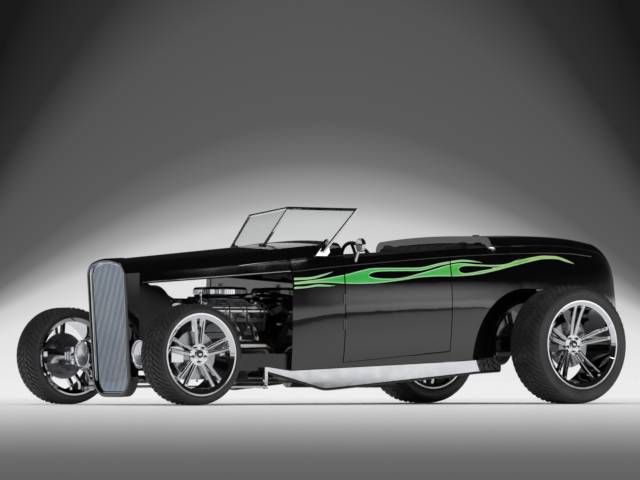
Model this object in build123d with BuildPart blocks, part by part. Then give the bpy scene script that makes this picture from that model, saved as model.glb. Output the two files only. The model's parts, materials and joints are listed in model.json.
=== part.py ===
from build123d import *
import os
from collections import namedtuple
from math import sqrt

# Street rod roadster, in millimetres: +X forward, +Y left, +Z up, ground at Z = 0.
# Lengthwise places are stations, measured rearward from the front axle.

# Running gear
WHEELBASE = 2692.0
TAIL_OVERHANG = 708.0
TAIL_TURN = 270.0
RUNNING_FIT = 0.3
FLANGE = 10.0

# shoulder is the drop from the tread to the sidewall's widest place, tread_half the flat part's half width.
AXLE_COLUMNS = "name station tyre_radius tyre_width bead_radius lip_radius track_y dish shoulder tread_half"
Axle = namedtuple("Axle", AXLE_COLUMNS)
FRONT = Axle("front", 0.0, 291.0, 225.0, 214.0, 237.0, 696.0, 26.0, 6.0, 0.0)
REAR = Axle("rear", WHEELBASE, 360.0, 288.0, 246.0, 269.0, 762.0, 90.0, 38.0, 118.0)
BARREL_WALL = 9.0
SPOKE_COUNT = 5
RIB_WIDTH = 20.0
RIB_SPREAD_HUB = 13.0
RIB_SPREAD_RIM = 34.0
SPOKE_DEPTH = 26.0
HUB_RADIUS = 62.0
CAP_RADIUS = 27.0
CAP_PROUD = 9.0
SPINDLE_RADIUS = 20.0
HUB_LENGTH = 46.0
DISC_RADIUS = 138.0
DISC_WALL = 20.0
KINGPIN_Y = 600.0
KINGPIN_RADIUS = 11.0
EYE_RADIUS = 24.0
EYE_HEIGHT = 58.0
YOKE_LUG = 22.0
ARM_LENGTH = 100.0
TIE_ROD_Z = 190.0
TIE_ROD_RADIUS = 11.0
TIE_ROD_EYE = 28.0

# Body
WALL = 42.0
SEAM = 6.0
COWL_FRONT = 860.0
DOOR_FRONT = 1180.0
DOOR_REAR = 1905.0
DOOR_RISE = 50.0
COCKPIT_REAR = 2225.0
LID_FRONT = 2450.0
LID_HALF = 370.0
LID_LIP_STATION = 3345.0
LID_LIP_Z = 800.0
SILL_FRONT = 28.0
SILL_REAR = 60.0
HINGE_RADIUS = 6.0
HINGE_FIT = 2.0
HINGE_PROUD = 2.0
HINGE_LEAF = 13.0
HINGE_LENGTH = 60.0
HINGE_SPACING = 150.0
ARCH_RADIUS = 398.0
ARCH_SHIFT = 212.0
ARCH_Z = 305.0
ARCH_LIP = 24.0
TUB_Y = 490.0
TUB_WALL = 18.0
AXLE_NOTCH_HALF = 140.0
BULGE_SHARE = 0.55
CORNER_IN = 0.05
CORNER_UP = 0.39
CORNER_SINK = 0.3
SHOULDER_DOWN = 0.14
SHOULDER_SLOPE = 0.9
LID_DEPTH = 100.0
LID_KNEE = 670.0
TAIL_LAMP_Y = 290.0
TAIL_LAMP_Z = 585.0
TAIL_LAMP_RADIUS = 34.0
TAIL_LAMP_DEPTH = 90.0
TAIL_LAMP_SET = 1.0
BODY_REACH = 760.0
SKY = 1400.0
BREAKOUT = 2.0
SCREEN_FOOT = 977.0
SCREEN_FOOT_Z = 962.0
SCREEN_HEAD = 1144.0
SCREEN_HEAD_Z = 1177.0
SCREEN_CORNER = 1245.0
SCREEN_CORNER_Z = 1150.0
SCREEN_HALF = 563.0
SCREEN_BORDER = 13.0
SCREEN_WALL = 14.0
SCREEN_TAPER = 70.0
SCREEN_DROOP = 32.0
SCREEN_FOOT_Y = 474.0
SCREEN_FOOT_WALL = 34.0
SCREEN_FOOT_FORE = 20.0
SCREEN_FOOT_AFT = 124.0
SCREEN_FOOT_TIP = 110.0
SCREEN_FOOT_LOW = 82.0
SCREEN_FOOT_HIGH = 18.0
GLASS_WALL = 6.0

# Body sections: lean is the rearward share of the skin's normal there.
Section = namedtuple("Section", "station bottom_z bottom_y bulge_y belt_z belt_y crown_z lean")
TAIL = WHEELBASE + TAIL_OVERHANG
TAIL_START = TAIL - TAIL_TURN
BODY = (
    Section(COWL_FRONT, 205.0, 455.0, 470.0, 778.0, 460.0, 950.0, 0.0),
    Section(DOOR_FRONT, 222.0, 524.0, 556.0, 816.0, 538.0, 986.0, 0.0),
    Section(DOOR_REAR, 258.0, 600.0, 638.0, 880.0, 612.0, 1020.0, 0.0),
    Section(LID_FRONT, 292.0, 586.0, 622.0, 910.0, 592.0, 1036.0, 0.0),
    Section(LID_FRONT + 400.0, 322.0, 540.0, 578.0, 918.0, 548.0, 1036.0, 0.0),
    Section(TAIL_START, 348.0, 478.0, 512.0, 895.0, 486.0, 1003.0, 0.35),
    Section(TAIL - 110.0, 376.0, 420.0, 444.0, 815.0, 424.0, 903.0, 0.70),
    Section(TAIL - 25.0, 412.0, 358.0, 372.0, 690.0, 358.0, 758.0, 0.95),
    Section(TAIL, 470.0, 300.0, 308.0, 600.0, 300.0, 642.0, 1.0),
)

# Radiator shell and hood
SHELL_FRONT = -102.0
SHELL_REAR = -48.0
SHELL_TILT = 3.4
SHELL_DEPTH = 140.0
SHELL_WALL = 20.0
SHELL_ROUND = 12.0
SHELL_BOTTOM = 45.0
SHELL_SIDE_Z = 705.0
SHELL_HALF = 224.0
SHELL_LOW_HALF = 206.0
SHELL_CROWN = 858.0
SHELL_LOW_CORNER = 120.0
GRILLE_SET = 18.0
GRILLE_DEPTH = 16.0
GRILLE_BAND = 12.0
GRILLE_PITCH = 13.5
GRILLE_BAR = 6.0
RADIATOR_FRONT = -72.0
RADIATOR_LOW = 172.0
RADIATOR_TOP = 790.0
HOOD_WALL = 16.0
HOOD_FRONT = Section(SHELL_REAR + SEAM, 0.0, 0.0, 0.0, SHELL_SIDE_Z, SHELL_HALF, SHELL_CROWN, 0.0)

# Frame
RAIL_TOP = 300.0
RAIL_LOW = 200.0
RAIL_WALL = 55.0
RAIL_GAP = 8.0
RAIL_NOSE_Y = 226.0
RAIL_NOSE_LOW = 242.0
RAIL_NOSE_END = 60.0
RAIL_NOSE_RISE = 140.0
RAIL_WAIST_Y = 378.0
RAIL_TUCK = 2050.0
RAIL_END = 3250.0
RAIL_END_Y = 365.0
RAIL_END_Z = 420.0
KICK_FRONT = 2345.0
KICK_BACK = 2510.0
KICK_REAR = 2890.0
KICK_LEAD = 30.0
KICK_TOP = 560.0
KICK_LOW = 470.0
COVER_FRONT = 724.0
COVER_END = 2310.0
COVER_DIP = 1068.0
COVER_DIP_Z = 87.0
COVER_RISE = 2129.0
COVER_BEND = 160.0
COVER_TIP = 22.0
COVER_WALL = 14.0
COVER_INSET = 8.0
MEMBER_WALL = 55.0
SPRING_SEAT = 42.0
SPRING_Z = 232.0
GEARBOX_SEAT = 1065.0
SEAT_MEMBER = 1945.0
COIL_STATION = 2790.0
COIL_TOP = 500.0

# Cabin
FLOOR_WALL = 16.0
TUNNEL_HALF = 150.0
TUNNEL_TAPER = 20.0
TUNNEL_TOP = 470.0
BULKHEAD = 2242.0
FIREWALL_SET = 4.0
FIREWALL_WALL = 12.0
DASH_STATION = 1105.0
DASH_WALL = 30.0
DASH_LOW = 735.0
STEERING_WHEEL = DOOR_FRONT + 250.0
STEERING_WHEEL_Z = 805.0
DRIVER_Y = 330.0
COLUMN_FRONT = 815.0
COLUMN_RISE = 0.42
COLUMN_RADIUS = 20.0
WHEEL_RIM = 170.0
WHEEL_GRIP = 11.0
WHEEL_HUB = 32.0
WHEEL_HUB_DEPTH = 30.0
WHEEL_SPOKES = 3
WHEEL_SPOKE = 26.0
WHEEL_SPOKE_WALL = 6.0
SEAT_FRONT = 1640.0
SEAT_BACK = 2130.0
SEAT_BACK_WALL = 130.0
SEAT_BACK_HEAD = 81.0
SEAT_HALF = 470.0
SEAT_TOP = 640.0
SEAT_BACK_TOP = 1012.0
SEAT_ROUND = 40.0
LINING_FIT = 1.5
SEAT_BACK_HALF = 430.0

# Engine
ENGINE_FRONT = 270.0
ENGINE_LENGTH = 520.0
CRANK_Z = 315.0
BANK_HALF = 78.0
HEAD_REACH = 325.0
COVER_REACH = 400.0
AIR_CLEANER_RADIUS = 160.0
AIR_CLEANER_Z = 640.0
GEARBOX_RISE = 15.0
GEARBOX_RADIUS = 90.0
GEARBOX_END = 510.0
BELL_RADIUS = 160.0
BELL_FLANGE = 20.0
BELL_END = 170.0
TAILSHAFT_RADIUS = 60.0
TAILSHAFT_START = 560.0
TAILSHAFT_END = 630.0
BANK_ANGLE = 45.0
COVER_WIDTH = 124.0
COVER_ROUND = 16.0
PAN_LOW = 150.0
PAN_HALF = 98.0
PAN_STEP = 40.0
CASE_FOOT = 118.0
CASE_WAIST = 132.0
CASE_RISE = 110.0
INTAKE_FRONT = 340.0
INTAKE_REAR = 745.0
INTAKE_TOP = 600.0
INTAKE_HALF = 110.0
INTAKE_SHOULDER = 140.0
INTAKE_DROP = 34.0
VALLEY_HALF = 40.0
VALLEY_LOW = 470.0
AIR_CLEANER_STATION = 655.0
AIR_CLEANER_WALL = 58.0
CARB_RADIUS = 62.0
PORT_FRONT = 345.0
PORT_PITCH = 122.0
PORT_COUNT = 4
PORT_Y = 240.0
PORT_Z = 477.0
HEADER_RADIUS = 19.0
HEADER_BEND = 34.0
COLLECTOR_RADIUS = 34.0
COLLECTOR_Y = 304.0
COLLECTOR_Z = 352.0
OUTLET_BACK = 65.0
OUTLET_IN = 40.0
OUTLET_DROP = 118.0
OUTLET_SHARE = 0.85
DOWNPIPE = 125.0
EXHAUST_RADIUS = 30.0
EXHAUST_Y = 250.0
EXHAUST_Z = 160.0
EXHAUST_END = 1850.0
MUFFLER_STATION = 1520.0
MUFFLER_RADIUS = 60.0
MUFFLER_LENGTH = 420.0
PULLEY_DEPTH = 44.0
CRANK_PULLEY = 84.0
PUMP_PULLEY = 70.0
PUMP_RISE = 168.0
ALTERNATOR_RADIUS = 60.0
ALTERNATOR_DEPTH = 84.0
ALTERNATOR_SHARE = 0.82
SHAFT_RADIUS = 32.0

# Axles and links
AXLE_RADIUS = 24.0
AXLE_DROP_Z = 150.0
AXLE_DROP_Y = 365.0
AXLE_RISE_Y = 470.0
AXLE_BEND = 60.0
SPINE_Y = 630.0
SPINE_WALL = 22.0
ARM_RADIUS = 10.0
BALL_RADIUS = 14.0
BALL_PIN = 6.0
ROD_Y = 405.0
ROD_END_Y = 432.0
ROD_Z = 103.0
ROD_END_Z = 110.0
ROD_END = 700.0
ROD_RADIUS = 9.0
BRACKET_WALL = 20.0
LEAF_HALF = 340.0
LEAF_WALL = 18.0
LEAF_WIDTH = 44.0
CALIPER_NEAR = 84.0
CALIPER_FAR = 164.0
CALIPER_HALF = 44.0
CALIPER_FIT = 5.0
CALIPER_LIP = 6.0
HOUSING_RADIUS = 38.0
HOUSING_REACH = 700.0
DIFF_RADIUS = 122.0
DIFF_COVER = 60.0
DIFF_BEVEL = 60.0
DIFF_DRUM = 90.0
DIFF_NOSE = 50.0
COIL_Y = 275.0
COIL_RADIUS = 29.0
COIL_LOW = 335.0
LINK_Y = 352.0
LINK_RADIUS = 14.0
LINK_Z = 225.0
TANK_FRONT = 2905.0
TANK_REAR = 3170.0
TANK_HALF = 295.0
TANK_LOW = 385.0

# Lamps and mirror
LAMP_FRONT = -112.0
LAMP_Y = 318.0
LAMP_Z = 297.0
LAMP_RADIUS = 85.0
Bowl = namedtuple("Bowl", "behind inside")
LAMP_BOWL = (
    Bowl(8.0, 0.0),
    Bowl(30.0, 3.0),
    Bowl(70.0, 23.0),
    Bowl(100.0, 51.0),
    Bowl(112.0, LAMP_RADIUS),
)
LENS_RADIUS = 76.0
LENS_SET = 14.0
LENS_BULGE = 10.0
STEM_RADIUS = 9.0
STEM_SEAT = 62.0
STEM_BACK = 92.0
STEM_DROP = 40.0
MIRROR_STATION = 1262.0
MIRROR_Y = 590.0
MIRROR_Z = 945.0
MIRROR_RADIUS = 40.0
MIRROR_WALL = 22.0
MIRROR_REACH = 65.0

FRONT_AXLE_X = (TAIL - FRONT.tyre_radius) / 2
SIDE = Plane(origin=(FRONT_AXLE_X, 0, 0), x_dir=(-1, 0, 0), z_dir=(0, 1, 0))

os.makedirs("parts", exist_ok=True)


def x_at(station):
    """X of a station."""
    return FRONT_AXLE_X - station


def cross(station):
    """Plane across the car at a station: local (Y, Z), normal forward."""
    return Plane(origin=(x_at(station), 0, 0), x_dir=(0, 1, 0), z_dir=(1, 0, 0))


def level(z):
    """Level plane: local (station, Y), normal down."""
    return Plane(origin=(FRONT_AXLE_X, 0, z), x_dir=(-1, 0, 0), z_dir=(0, 0, -1))


def body_slope(index, column):
    """A column's slope at a section, from its neighbours."""
    fore = BODY[max(index - 1, 0)]
    aft = BODY[min(index + 1, len(BODY) - 1)]
    return (getattr(aft, column) - getattr(fore, column)) / (aft.station - fore.station)


def body_at(station, column):
    """A body column's value at a station, by a smooth curve through the sections."""
    index = sum(row.station <= station for row in BODY[1:-1])
    fore, aft = BODY[index], BODY[index + 1]
    run = aft.station - fore.station
    share = (station - fore.station) / run
    rest = 1 - share
    near = getattr(fore, column) * (1 + 2 * share) * rest ** 2
    far = getattr(aft, column) * (1 + 2 * rest) * share ** 2
    bend = body_slope(index, column) * share * rest ** 2 - body_slope(index + 1, column) * rest * share ** 2
    return near + far + run * bend


def body_row(station):
    """The body section at any station."""
    return Section(station, *[body_at(station, column) for column in Section._fields[1:]])


def upper_points(row, inset):
    """Corner and shoulder of a section's upper half, from its belt and crown."""
    rise = row.crown_z - row.belt_z
    corner = (row.belt_y - inset - CORNER_IN * rise, row.belt_z + CORNER_UP * rise - CORNER_SINK * inset)
    shoulder_z = row.crown_z - inset - SHOULDER_DOWN * rise
    shoulder = (corner[0] - SHOULDER_SLOPE * (shoulder_z - corner[1]), shoulder_z)
    return corner, shoulder


def upper_curve(row, inset):
    """Draw a section's crown and both rounded corners, and return the left corner."""
    corner, shoulder = upper_points(row, inset)
    crown = ThreePointArc((-shoulder[0], shoulder[1]), (0, row.crown_z - inset), shoulder)
    TangentArc(shoulder, corner, tangent=crown % 1)
    TangentArc((-shoulder[0], shoulder[1]), (-corner[0], corner[1]), tangent=(crown % 0) * -1)
    return corner


def body_section(row, inset, drop):
    """Draw one closed body section, inset all round and with its bottom lowered by drop."""
    inset = inset * sqrt(1 - row.lean ** 2)
    bulge = (row.bulge_y - inset, row.bottom_z + BULGE_SHARE * (row.belt_z - row.bottom_z))
    low = (row.bottom_y - inset, row.bottom_z - drop)
    belt = (row.belt_y - inset, row.belt_z)
    corner = upper_curve(row, inset)
    Line(corner, belt)
    ThreePointArc(belt, bulge, low)
    Line(low, (-low[0], low[1]))
    ThreePointArc((-low[0], low[1]), (-bulge[0], bulge[1]), (-belt[0], belt[1]))
    Line((-belt[0], belt[1]), (-corner[0], corner[1]))


def skin(fore, aft, inset, drop, spans):
    """Loft the body's form between two stations, inset by a wall and lowered by drop."""
    with BuildPart() as form:
        for step in range(spans + 1):
            row = body_row(fore + (aft - fore) * step / spans)
            with BuildSketch(cross(row.station - inset * row.lean)):
                with BuildLine():
                    body_section(row, inset, drop)
                make_face()
        loft()
    return form.part


def side_prism(points, y_from, y_to):
    """Solid between two Y planes from a side outline of (station, Z) points."""
    with BuildPart() as prism:
        with BuildSketch(SIDE.offset(y_from)):
            with BuildLine():
                Polyline(*points, close=True)
            make_face()
        extrude(amount=y_to - y_from)
    return prism.part


def plan_prism(points, z_from, z_to):
    """Solid between two heights from a plan outline of (station, Y) points."""
    with BuildPart() as prism:
        with BuildSketch(level(z_to)):
            with BuildLine():
                Polyline(*points, close=True)
            make_face()
        extrude(amount=z_to - z_from)
    return prism.part


def block(station_from, station_to, y_from, y_to, z_from, z_to):
    """Square block between stations, Y planes and heights."""
    points = ((station_from, z_from), (station_to, z_from), (station_to, z_to), (station_from, z_to))
    return side_prism(points, y_from, y_to)


def at(station, y, z):
    """Point from a station, a Y and a height."""
    return Vector(x_at(station), y, z)


def tube(points, radius, bend=0.0):
    """Round rod or pipe along straight runs joined by tangent arcs."""
    with BuildPart() as pipe:
        with BuildLine():
            if bend > 0:
                path = FilletPolyline(*points, radius=bend)
            else:
                path = Line(*points)
        with BuildSketch(Plane(origin=path @ 0, z_dir=path % 0)):
            Circle(radius)
        sweep(path=path)
    return pipe.part


def bar(centre, direction, radius, length):
    """Round bar centred on a point, along a direction."""
    with BuildPart() as rod:
        with BuildSketch(Plane(origin=centre, z_dir=direction)):
            Circle(radius)
        extrude(amount=length / 2, both=True)
    return rod.part


def turned(origin, direction, points):
    """Turned piece about an axis, from (along, radius) points."""
    side = Vector(*direction).cross(Vector(0, 0, 1)).normalized()
    up = side.cross(Vector(*direction)).normalized()
    plane = Plane(origin=origin, x_dir=direction, z_dir=Vector(*direction).cross(up))
    with BuildPart() as piece:
        with BuildSketch(plane):
            with BuildLine():
                Polyline(*points, close=True)
            make_face()
        revolve(axis=Axis(origin, direction))
    return piece.part


def both_sides(part):
    """A left piece together with its mirror image."""
    with BuildPart() as pair:
        add(part)
        mirror(part, about=Plane.XZ)
    return pair.part


def keep(part, name):
    """Label a finished piece and write it."""
    part.label = name
    export_step(part, f"parts/{name}.step")


def keep_pair(part, name):
    """Write a left piece and its mirror image as two nodes."""
    keep(part, f"{name}_left")
    keep(mirror(part, about=Plane.XZ), f"{name}_right")


# Body forms: the cowl, the sides at the doors, and the rear with its tail
cowl_rear = DOOR_FRONT - SEAM / 2
rear_front = DOOR_REAR + SEAM / 2


def rear_form(inset, drop):
    """The rear body's form, from the door to the tail, inset by a wall."""
    with BuildPart() as form:
        add(skin(rear_front, LID_FRONT, inset, drop, 2))
        add(skin(LID_FRONT, TAIL_START, inset, drop, 2))
        add(skin(TAIL_START, TAIL, inset, drop, 3))
    return form.part


def arch_prism(grow, y_from, y_to):
    """Rear wheel arch: a slot centred over the rear axle, grown by a lip."""
    with BuildPart() as arch:
        with BuildSketch(SIDE.offset(y_from)):
            with Locations((REAR.station, ARCH_Z)):
                SlotCenterToCenter(2 * ARCH_SHIFT, 2 * (ARCH_RADIUS + grow))
        extrude(amount=y_to - y_from)
    return arch.part


cowl_form = skin(COWL_FRONT, cowl_rear, 0.0, 0.0, 2)
side_form = skin(cowl_rear, rear_front, 0.0, 0.0, 2)
rear_outer = rear_form(0.0, 0.0)

# Doors hang on the cowl by two barrels on an upright axis just outside the skin
door_top_front = body_at(cowl_rear, "belt_z") + DOOR_RISE
door_top_rear = body_at(rear_front, "belt_z") + DOOR_RISE
hinge_y = body_at(DOOR_FRONT, "bulge_y") + HINGE_PROUD
sill_z = body_at(DOOR_FRONT, "bottom_z")
hinge_z = sill_z + BULGE_SHARE * (body_at(DOOR_FRONT, "belt_z") - sill_z)
door_hinges = [at(DOOR_FRONT, hinge_y, hinge_z + way * HINGE_SPACING / 2) for way in (-1, 1)]


def door_outline(shrink):
    """Door outline in side view, shrunk all round."""
    low_front = sill_z + SILL_FRONT + shrink
    low_rear = body_at(DOOR_REAR, "bottom_z") + SILL_REAR + shrink
    return (
        (DOOR_FRONT + shrink, low_front),
        (DOOR_REAR - shrink, low_rear),
        (DOOR_REAR - shrink, SKY),
        (DOOR_FRONT + shrink, SKY),
    )


above_doors = (
    (cowl_rear - BREAKOUT, door_top_front),
    (rear_front + BREAKOUT, door_top_rear),
    (rear_front + BREAKOUT, SKY),
    (cowl_rear - BREAKOUT, SKY),
)
with BuildPart() as sides:
    add(side_form)
    add(skin(cowl_rear - BREAKOUT, rear_front + BREAKOUT, WALL, BREAKOUT, 2), mode=Mode.SUBTRACT)
    add(side_prism(above_doors, -BODY_REACH, BODY_REACH), mode=Mode.SUBTRACT)

with BuildPart() as door:
    add(sides.part)
    add(side_prism(door_outline(SEAM / 2), 0.0, BODY_REACH), mode=Mode.INTERSECT)
    for point in door_hinges:
        add(bar(point, (0, 0, 1), HINGE_RADIUS + HINGE_FIT, HINGE_LENGTH + 2 * SEAM), mode=Mode.SUBTRACT)
keep_pair(door.part, "door")

with BuildPart() as rockers:
    add(sides.part)
    add(side_prism(door_outline(-SEAM / 2), -BODY_REACH, BODY_REACH), mode=Mode.SUBTRACT)
keep(rockers.part, "rockers")

with BuildPart() as hinge_leaf:
    for point in door_hinges:
        add(bar(point, (0, 0, 1), HINGE_RADIUS, HINGE_LENGTH))
        leaf_span = (point.Z - HINGE_LENGTH / 2, point.Z + HINGE_LENGTH / 2)
        add(block(DOOR_FRONT - HINGE_LEAF, DOOR_FRONT, hinge_y - HINGE_LEAF, hinge_y, *leaf_span))

# The hood's barrels stand on the cowl's front edge
hood_rear = COWL_FRONT - SEAM / 2
hood_hinge_z = body_at(COWL_FRONT, "crown_z")
hood_hinges = [at(hood_rear, way * HINGE_SPACING, hood_hinge_z) for way in (-1, 1)]
with BuildPart() as cowl:
    add(cowl_form)
    add(skin(COWL_FRONT - BREAKOUT, cowl_rear + BREAKOUT, WALL, BREAKOUT, 2), mode=Mode.SUBTRACT)
    add(both_sides(hinge_leaf.part))
    for point in hood_hinges:
        add(bar(point, (0, 1, 0), HINGE_RADIUS, HINGE_LENGTH))
        leaf_span = (point.Y - HINGE_LENGTH / 2, point.Y + HINGE_LENGTH / 2)
        add(block(hood_rear, COWL_FRONT + HINGE_LEAF, *leaf_span, point.Z - HINGE_LEAF, point.Z - BREAKOUT))
keep(cowl.part, "cowl")

# Rear body: quarters with recessed wheel wells, tulip panel, deck lid and tail panel
with BuildPart() as wheel_well:
    add(arch_prism(ARCH_LIP, TUB_Y - TUB_WALL, BODY_REACH))
    add(rear_outer, mode=Mode.INTERSECT)
behind_seat = (
    (rear_front - BREAKOUT, door_top_rear),
    (COCKPIT_REAR, body_at(COCKPIT_REAR, "belt_z") + DOOR_RISE),
    (COCKPIT_REAR, SKY),
    (rear_front - BREAKOUT, SKY),
)
notch_front = REAR.station - AXLE_NOTCH_HALF
notch_rear = REAR.station + AXLE_NOTCH_HALF
with BuildPart() as rear_hollow:
    add(skin(rear_front - BREAKOUT, LID_FRONT, WALL, BREAKOUT, 2))
    add(skin(LID_FRONT, TAIL_START, WALL, BREAKOUT, 2))
    add(skin(TAIL_START, TAIL, WALL, BREAKOUT, 3))
with BuildPart() as rear_body:
    add(rear_outer)
    add(rear_hollow.part, mode=Mode.SUBTRACT)
    add(both_sides(wheel_well.part))
    add(both_sides(arch_prism(0.0, TUB_Y, BODY_REACH)), mode=Mode.SUBTRACT)
    add(side_prism(behind_seat, -BODY_REACH, BODY_REACH), mode=Mode.SUBTRACT)
    add(block(notch_front, notch_rear, -BODY_REACH, BODY_REACH, 0, KICK_LOW), mode=Mode.SUBTRACT)
lid_hinge_z = body_at(LID_FRONT, "crown_z")


def lid_outline(grow):
    """Deck lid in side view: its rear edge lies on a line from the hinge, so it lifts straight off."""
    slope = (LID_LIP_Z - lid_hinge_z) / (LID_LIP_STATION - LID_FRONT)
    middle = LID_FRONT + LID_KNEE
    end = TAIL + BODY_REACH
    return (
        (LID_FRONT - grow, SKY),
        (LID_FRONT - grow, lid_hinge_z - LID_DEPTH - grow),
        (middle, lid_hinge_z + slope * (middle - LID_FRONT) - grow),
        (end, lid_hinge_z + slope * (end - LID_FRONT) - grow),
        (end, SKY),
    )


lid_hinges = [at(LID_FRONT, way * HINGE_SPACING, lid_hinge_z) for way in (-1, 1)]
lid_edge = LID_HALF - SEAM / 2
with BuildPart() as deck_lid:
    add(rear_body.part)
    add(side_prism(lid_outline(-SEAM / 2), -lid_edge, lid_edge), mode=Mode.INTERSECT)
    for point in lid_hinges:
        add(bar(point, (0, 1, 0), HINGE_RADIUS + HINGE_FIT, HINGE_LENGTH + 2 * SEAM), mode=Mode.SUBTRACT)
keep(deck_lid.part, "deck_lid")

side_split = LID_HALF + SEAM / 2
with BuildPart() as rear_fixed:
    add(rear_body.part)
    add(side_prism(lid_outline(SEAM / 2), -side_split, side_split), mode=Mode.SUBTRACT)
with BuildPart() as quarter:
    add(rear_fixed.part)
    add(block(0.0, TAIL + SEAM, side_split, BODY_REACH, 0.0, SKY), mode=Mode.INTERSECT)
keep_pair(quarter.part, "quarter")
with BuildPart() as tulip_panel:
    add(rear_fixed.part)
    add(block(0.0, LID_FRONT, -side_split, side_split, 0.0, SKY), mode=Mode.INTERSECT)
    for point in lid_hinges:
        leaf_span = (point.Y - HINGE_LENGTH / 2, point.Y + HINGE_LENGTH / 2)
        add(bar(point, (0, 1, 0), HINGE_RADIUS, HINGE_LENGTH))
        add(block(LID_FRONT - HINGE_LEAF, LID_FRONT, *leaf_span, point.Z - HINGE_LEAF, point.Z))
keep(tulip_panel.part, "tulip_panel")

with BuildPart() as tail_lamp:
    with BuildSketch(cross(TAIL - TAIL_LAMP_DEPTH)):
        with Locations((TAIL_LAMP_Y, TAIL_LAMP_Z)):
            Circle(TAIL_LAMP_RADIUS)
    extrude(amount=TAIL_LAMP_SET - TAIL_LAMP_DEPTH)
    fillet(tail_lamp.faces().sort_by(Axis.X)[0].edges(), TAIL_LAMP_RADIUS / 3)
keep(both_sides(tail_lamp.part), "tail_lamps")
with BuildPart() as tail_panel:
    add(rear_fixed.part)
    add(block(LID_FRONT + LID_KNEE, TAIL + SEAM, -side_split, side_split, 0.0, SKY), mode=Mode.INTERSECT)
    for way in (1, -1):
        seat = at(TAIL, way * TAIL_LAMP_Y, TAIL_LAMP_Z)
        add(bar(seat, (1, 0, 0), TAIL_LAMP_RADIUS + RUNNING_FIT, 4 * TAIL_LAMP_DEPTH), mode=Mode.SUBTRACT)
keep(tail_panel.part, "tail_panel")

# Windshield: a two-pane V frame on tapered feet, trimmed to the cowl it stands on
screen_foot = at(SCREEN_FOOT, 0, SCREEN_FOOT_Z)
screen_head = at(SCREEN_HEAD, 0, SCREEN_HEAD_Z)
screen_corner = at(SCREEN_CORNER, SCREEN_HALF, SCREEN_CORNER_Z)
screen_face = (screen_corner - screen_foot).cross(screen_head - screen_foot)
SCREEN = Plane(origin=screen_foot, x_dir=screen_corner - screen_head, z_dir=screen_face)
head_local = SCREEN.to_local_coords(screen_head)
corner_local = SCREEN.to_local_coords(screen_corner)
pane = (
    (SCREEN_BORDER / 2, 0.0),
    (head_local.X + SCREEN_BORDER / 2, head_local.Y),
    (corner_local.X, corner_local.Y),
    (corner_local.X - SCREEN_TAPER, -SCREEN_DROOP),
)
foot_outline = (
    (SCREEN_FOOT + SCREEN_FOOT_FORE, SCREEN_FOOT_Z - SCREEN_FOOT_LOW),
    (SCREEN_FOOT + SCREEN_FOOT_AFT, SCREEN_FOOT_Z - SCREEN_FOOT_LOW),
    (SCREEN_FOOT + SCREEN_FOOT_TIP, SCREEN_FOOT_Z + SCREEN_FOOT_HIGH),
)
with BuildPart() as screen_left:
    with BuildSketch(SCREEN):
        with BuildLine():
            Polyline(*pane, close=True)
        make_face()
        offset(amount=SCREEN_BORDER, kind=Kind.INTERSECTION)
        with BuildLine():
            Polyline(*pane, close=True)
        make_face(mode=Mode.SUBTRACT)
    extrude(amount=SCREEN_WALL / 2, both=True)
    add(side_prism(foot_outline, SCREEN_FOOT_Y, SCREEN_FOOT_Y + SCREEN_FOOT_WALL))
    add(block(0.0, TAIL, 0.0, BODY_REACH, 0.0, SKY), mode=Mode.INTERSECT)
with BuildPart() as screen_glass:
    with BuildSketch(SCREEN):
        with BuildLine():
            Polyline(*pane, close=True)
        make_face()
        offset(amount=-RUNNING_FIT, kind=Kind.INTERSECTION)
    extrude(amount=GLASS_WALL / 2, both=True)
    add(cowl_form, mode=Mode.SUBTRACT)
keep(both_sides(screen_glass.part), "windshield_glass")
with BuildPart() as windshield_frame:
    add(both_sides(screen_left.part))
    add(cowl_form, mode=Mode.SUBTRACT)
    add(both_sides(screen_glass.part), mode=Mode.SUBTRACT)
keep(windshield_frame.part, "windshield_frame")

# Hood top: lofted from the radiator shell to the cowl, hinged along its rear edge


def hood_section(row, inset, drop):
    """Draw one closed hood section, flat across its lower edges."""
    corner = upper_curve(row, inset)
    low = (row.belt_y - inset, row.belt_z - drop)
    Line(corner, low)
    Line(low, (-low[0], low[1]))
    Line((-low[0], low[1]), (-corner[0], corner[1]))


def hood_form(inset, drop, longer):
    """Hood form between the radiator shell and the cowl."""
    with BuildPart() as form:
        for row in (HOOD_FRONT, body_row(COWL_FRONT - SEAM)):
            ahead = longer if row is HOOD_FRONT else -longer
            with BuildSketch(cross(row.station - ahead)):
                with BuildLine():
                    hood_section(row, inset, drop)
                make_face()
        loft(ruled=True)
    return form.part


with BuildPart() as hood_top:
    add(hood_form(0.0, 0.0, 0.0))
    add(hood_form(HOOD_WALL, BREAKOUT, BREAKOUT), mode=Mode.SUBTRACT)
    for point in hood_hinges:
        add(bar(point, (0, 1, 0), HINGE_RADIUS + HINGE_FIT, HINGE_LENGTH + 2 * SEAM), mode=Mode.SUBTRACT)
keep(hood_top.part, "hood_top")

# Radiator shell, grille and radiator: drawn on a plane that leans forward at the top
tilt = Vector(1, 0, 0).rotate(Axis.Y, SHELL_TILT)
NOSE = Plane(origin=at(SHELL_FRONT, 0, 0), x_dir=(0, 1, 0), z_dir=tilt)


def shell_outline(inset):
    """Draw the radiator shell's outline: crown, corners, tapered sides and rounded bottom."""
    corner = upper_curve(HOOD_FRONT, inset)
    low = SHELL_BOTTOM + inset
    side = SHELL_LOW_HALF - inset
    turn = SHELL_LOW_CORNER - inset
    left = Line(corner, (side, low + turn))
    RadiusArc(left @ 1, (side - turn, low), turn)
    Line((side - turn, low), (turn - side, low))
    RadiusArc((turn - side, low), (-side, low + turn), turn)
    Line((-side, low + turn), (-corner[0], corner[1]))


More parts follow.
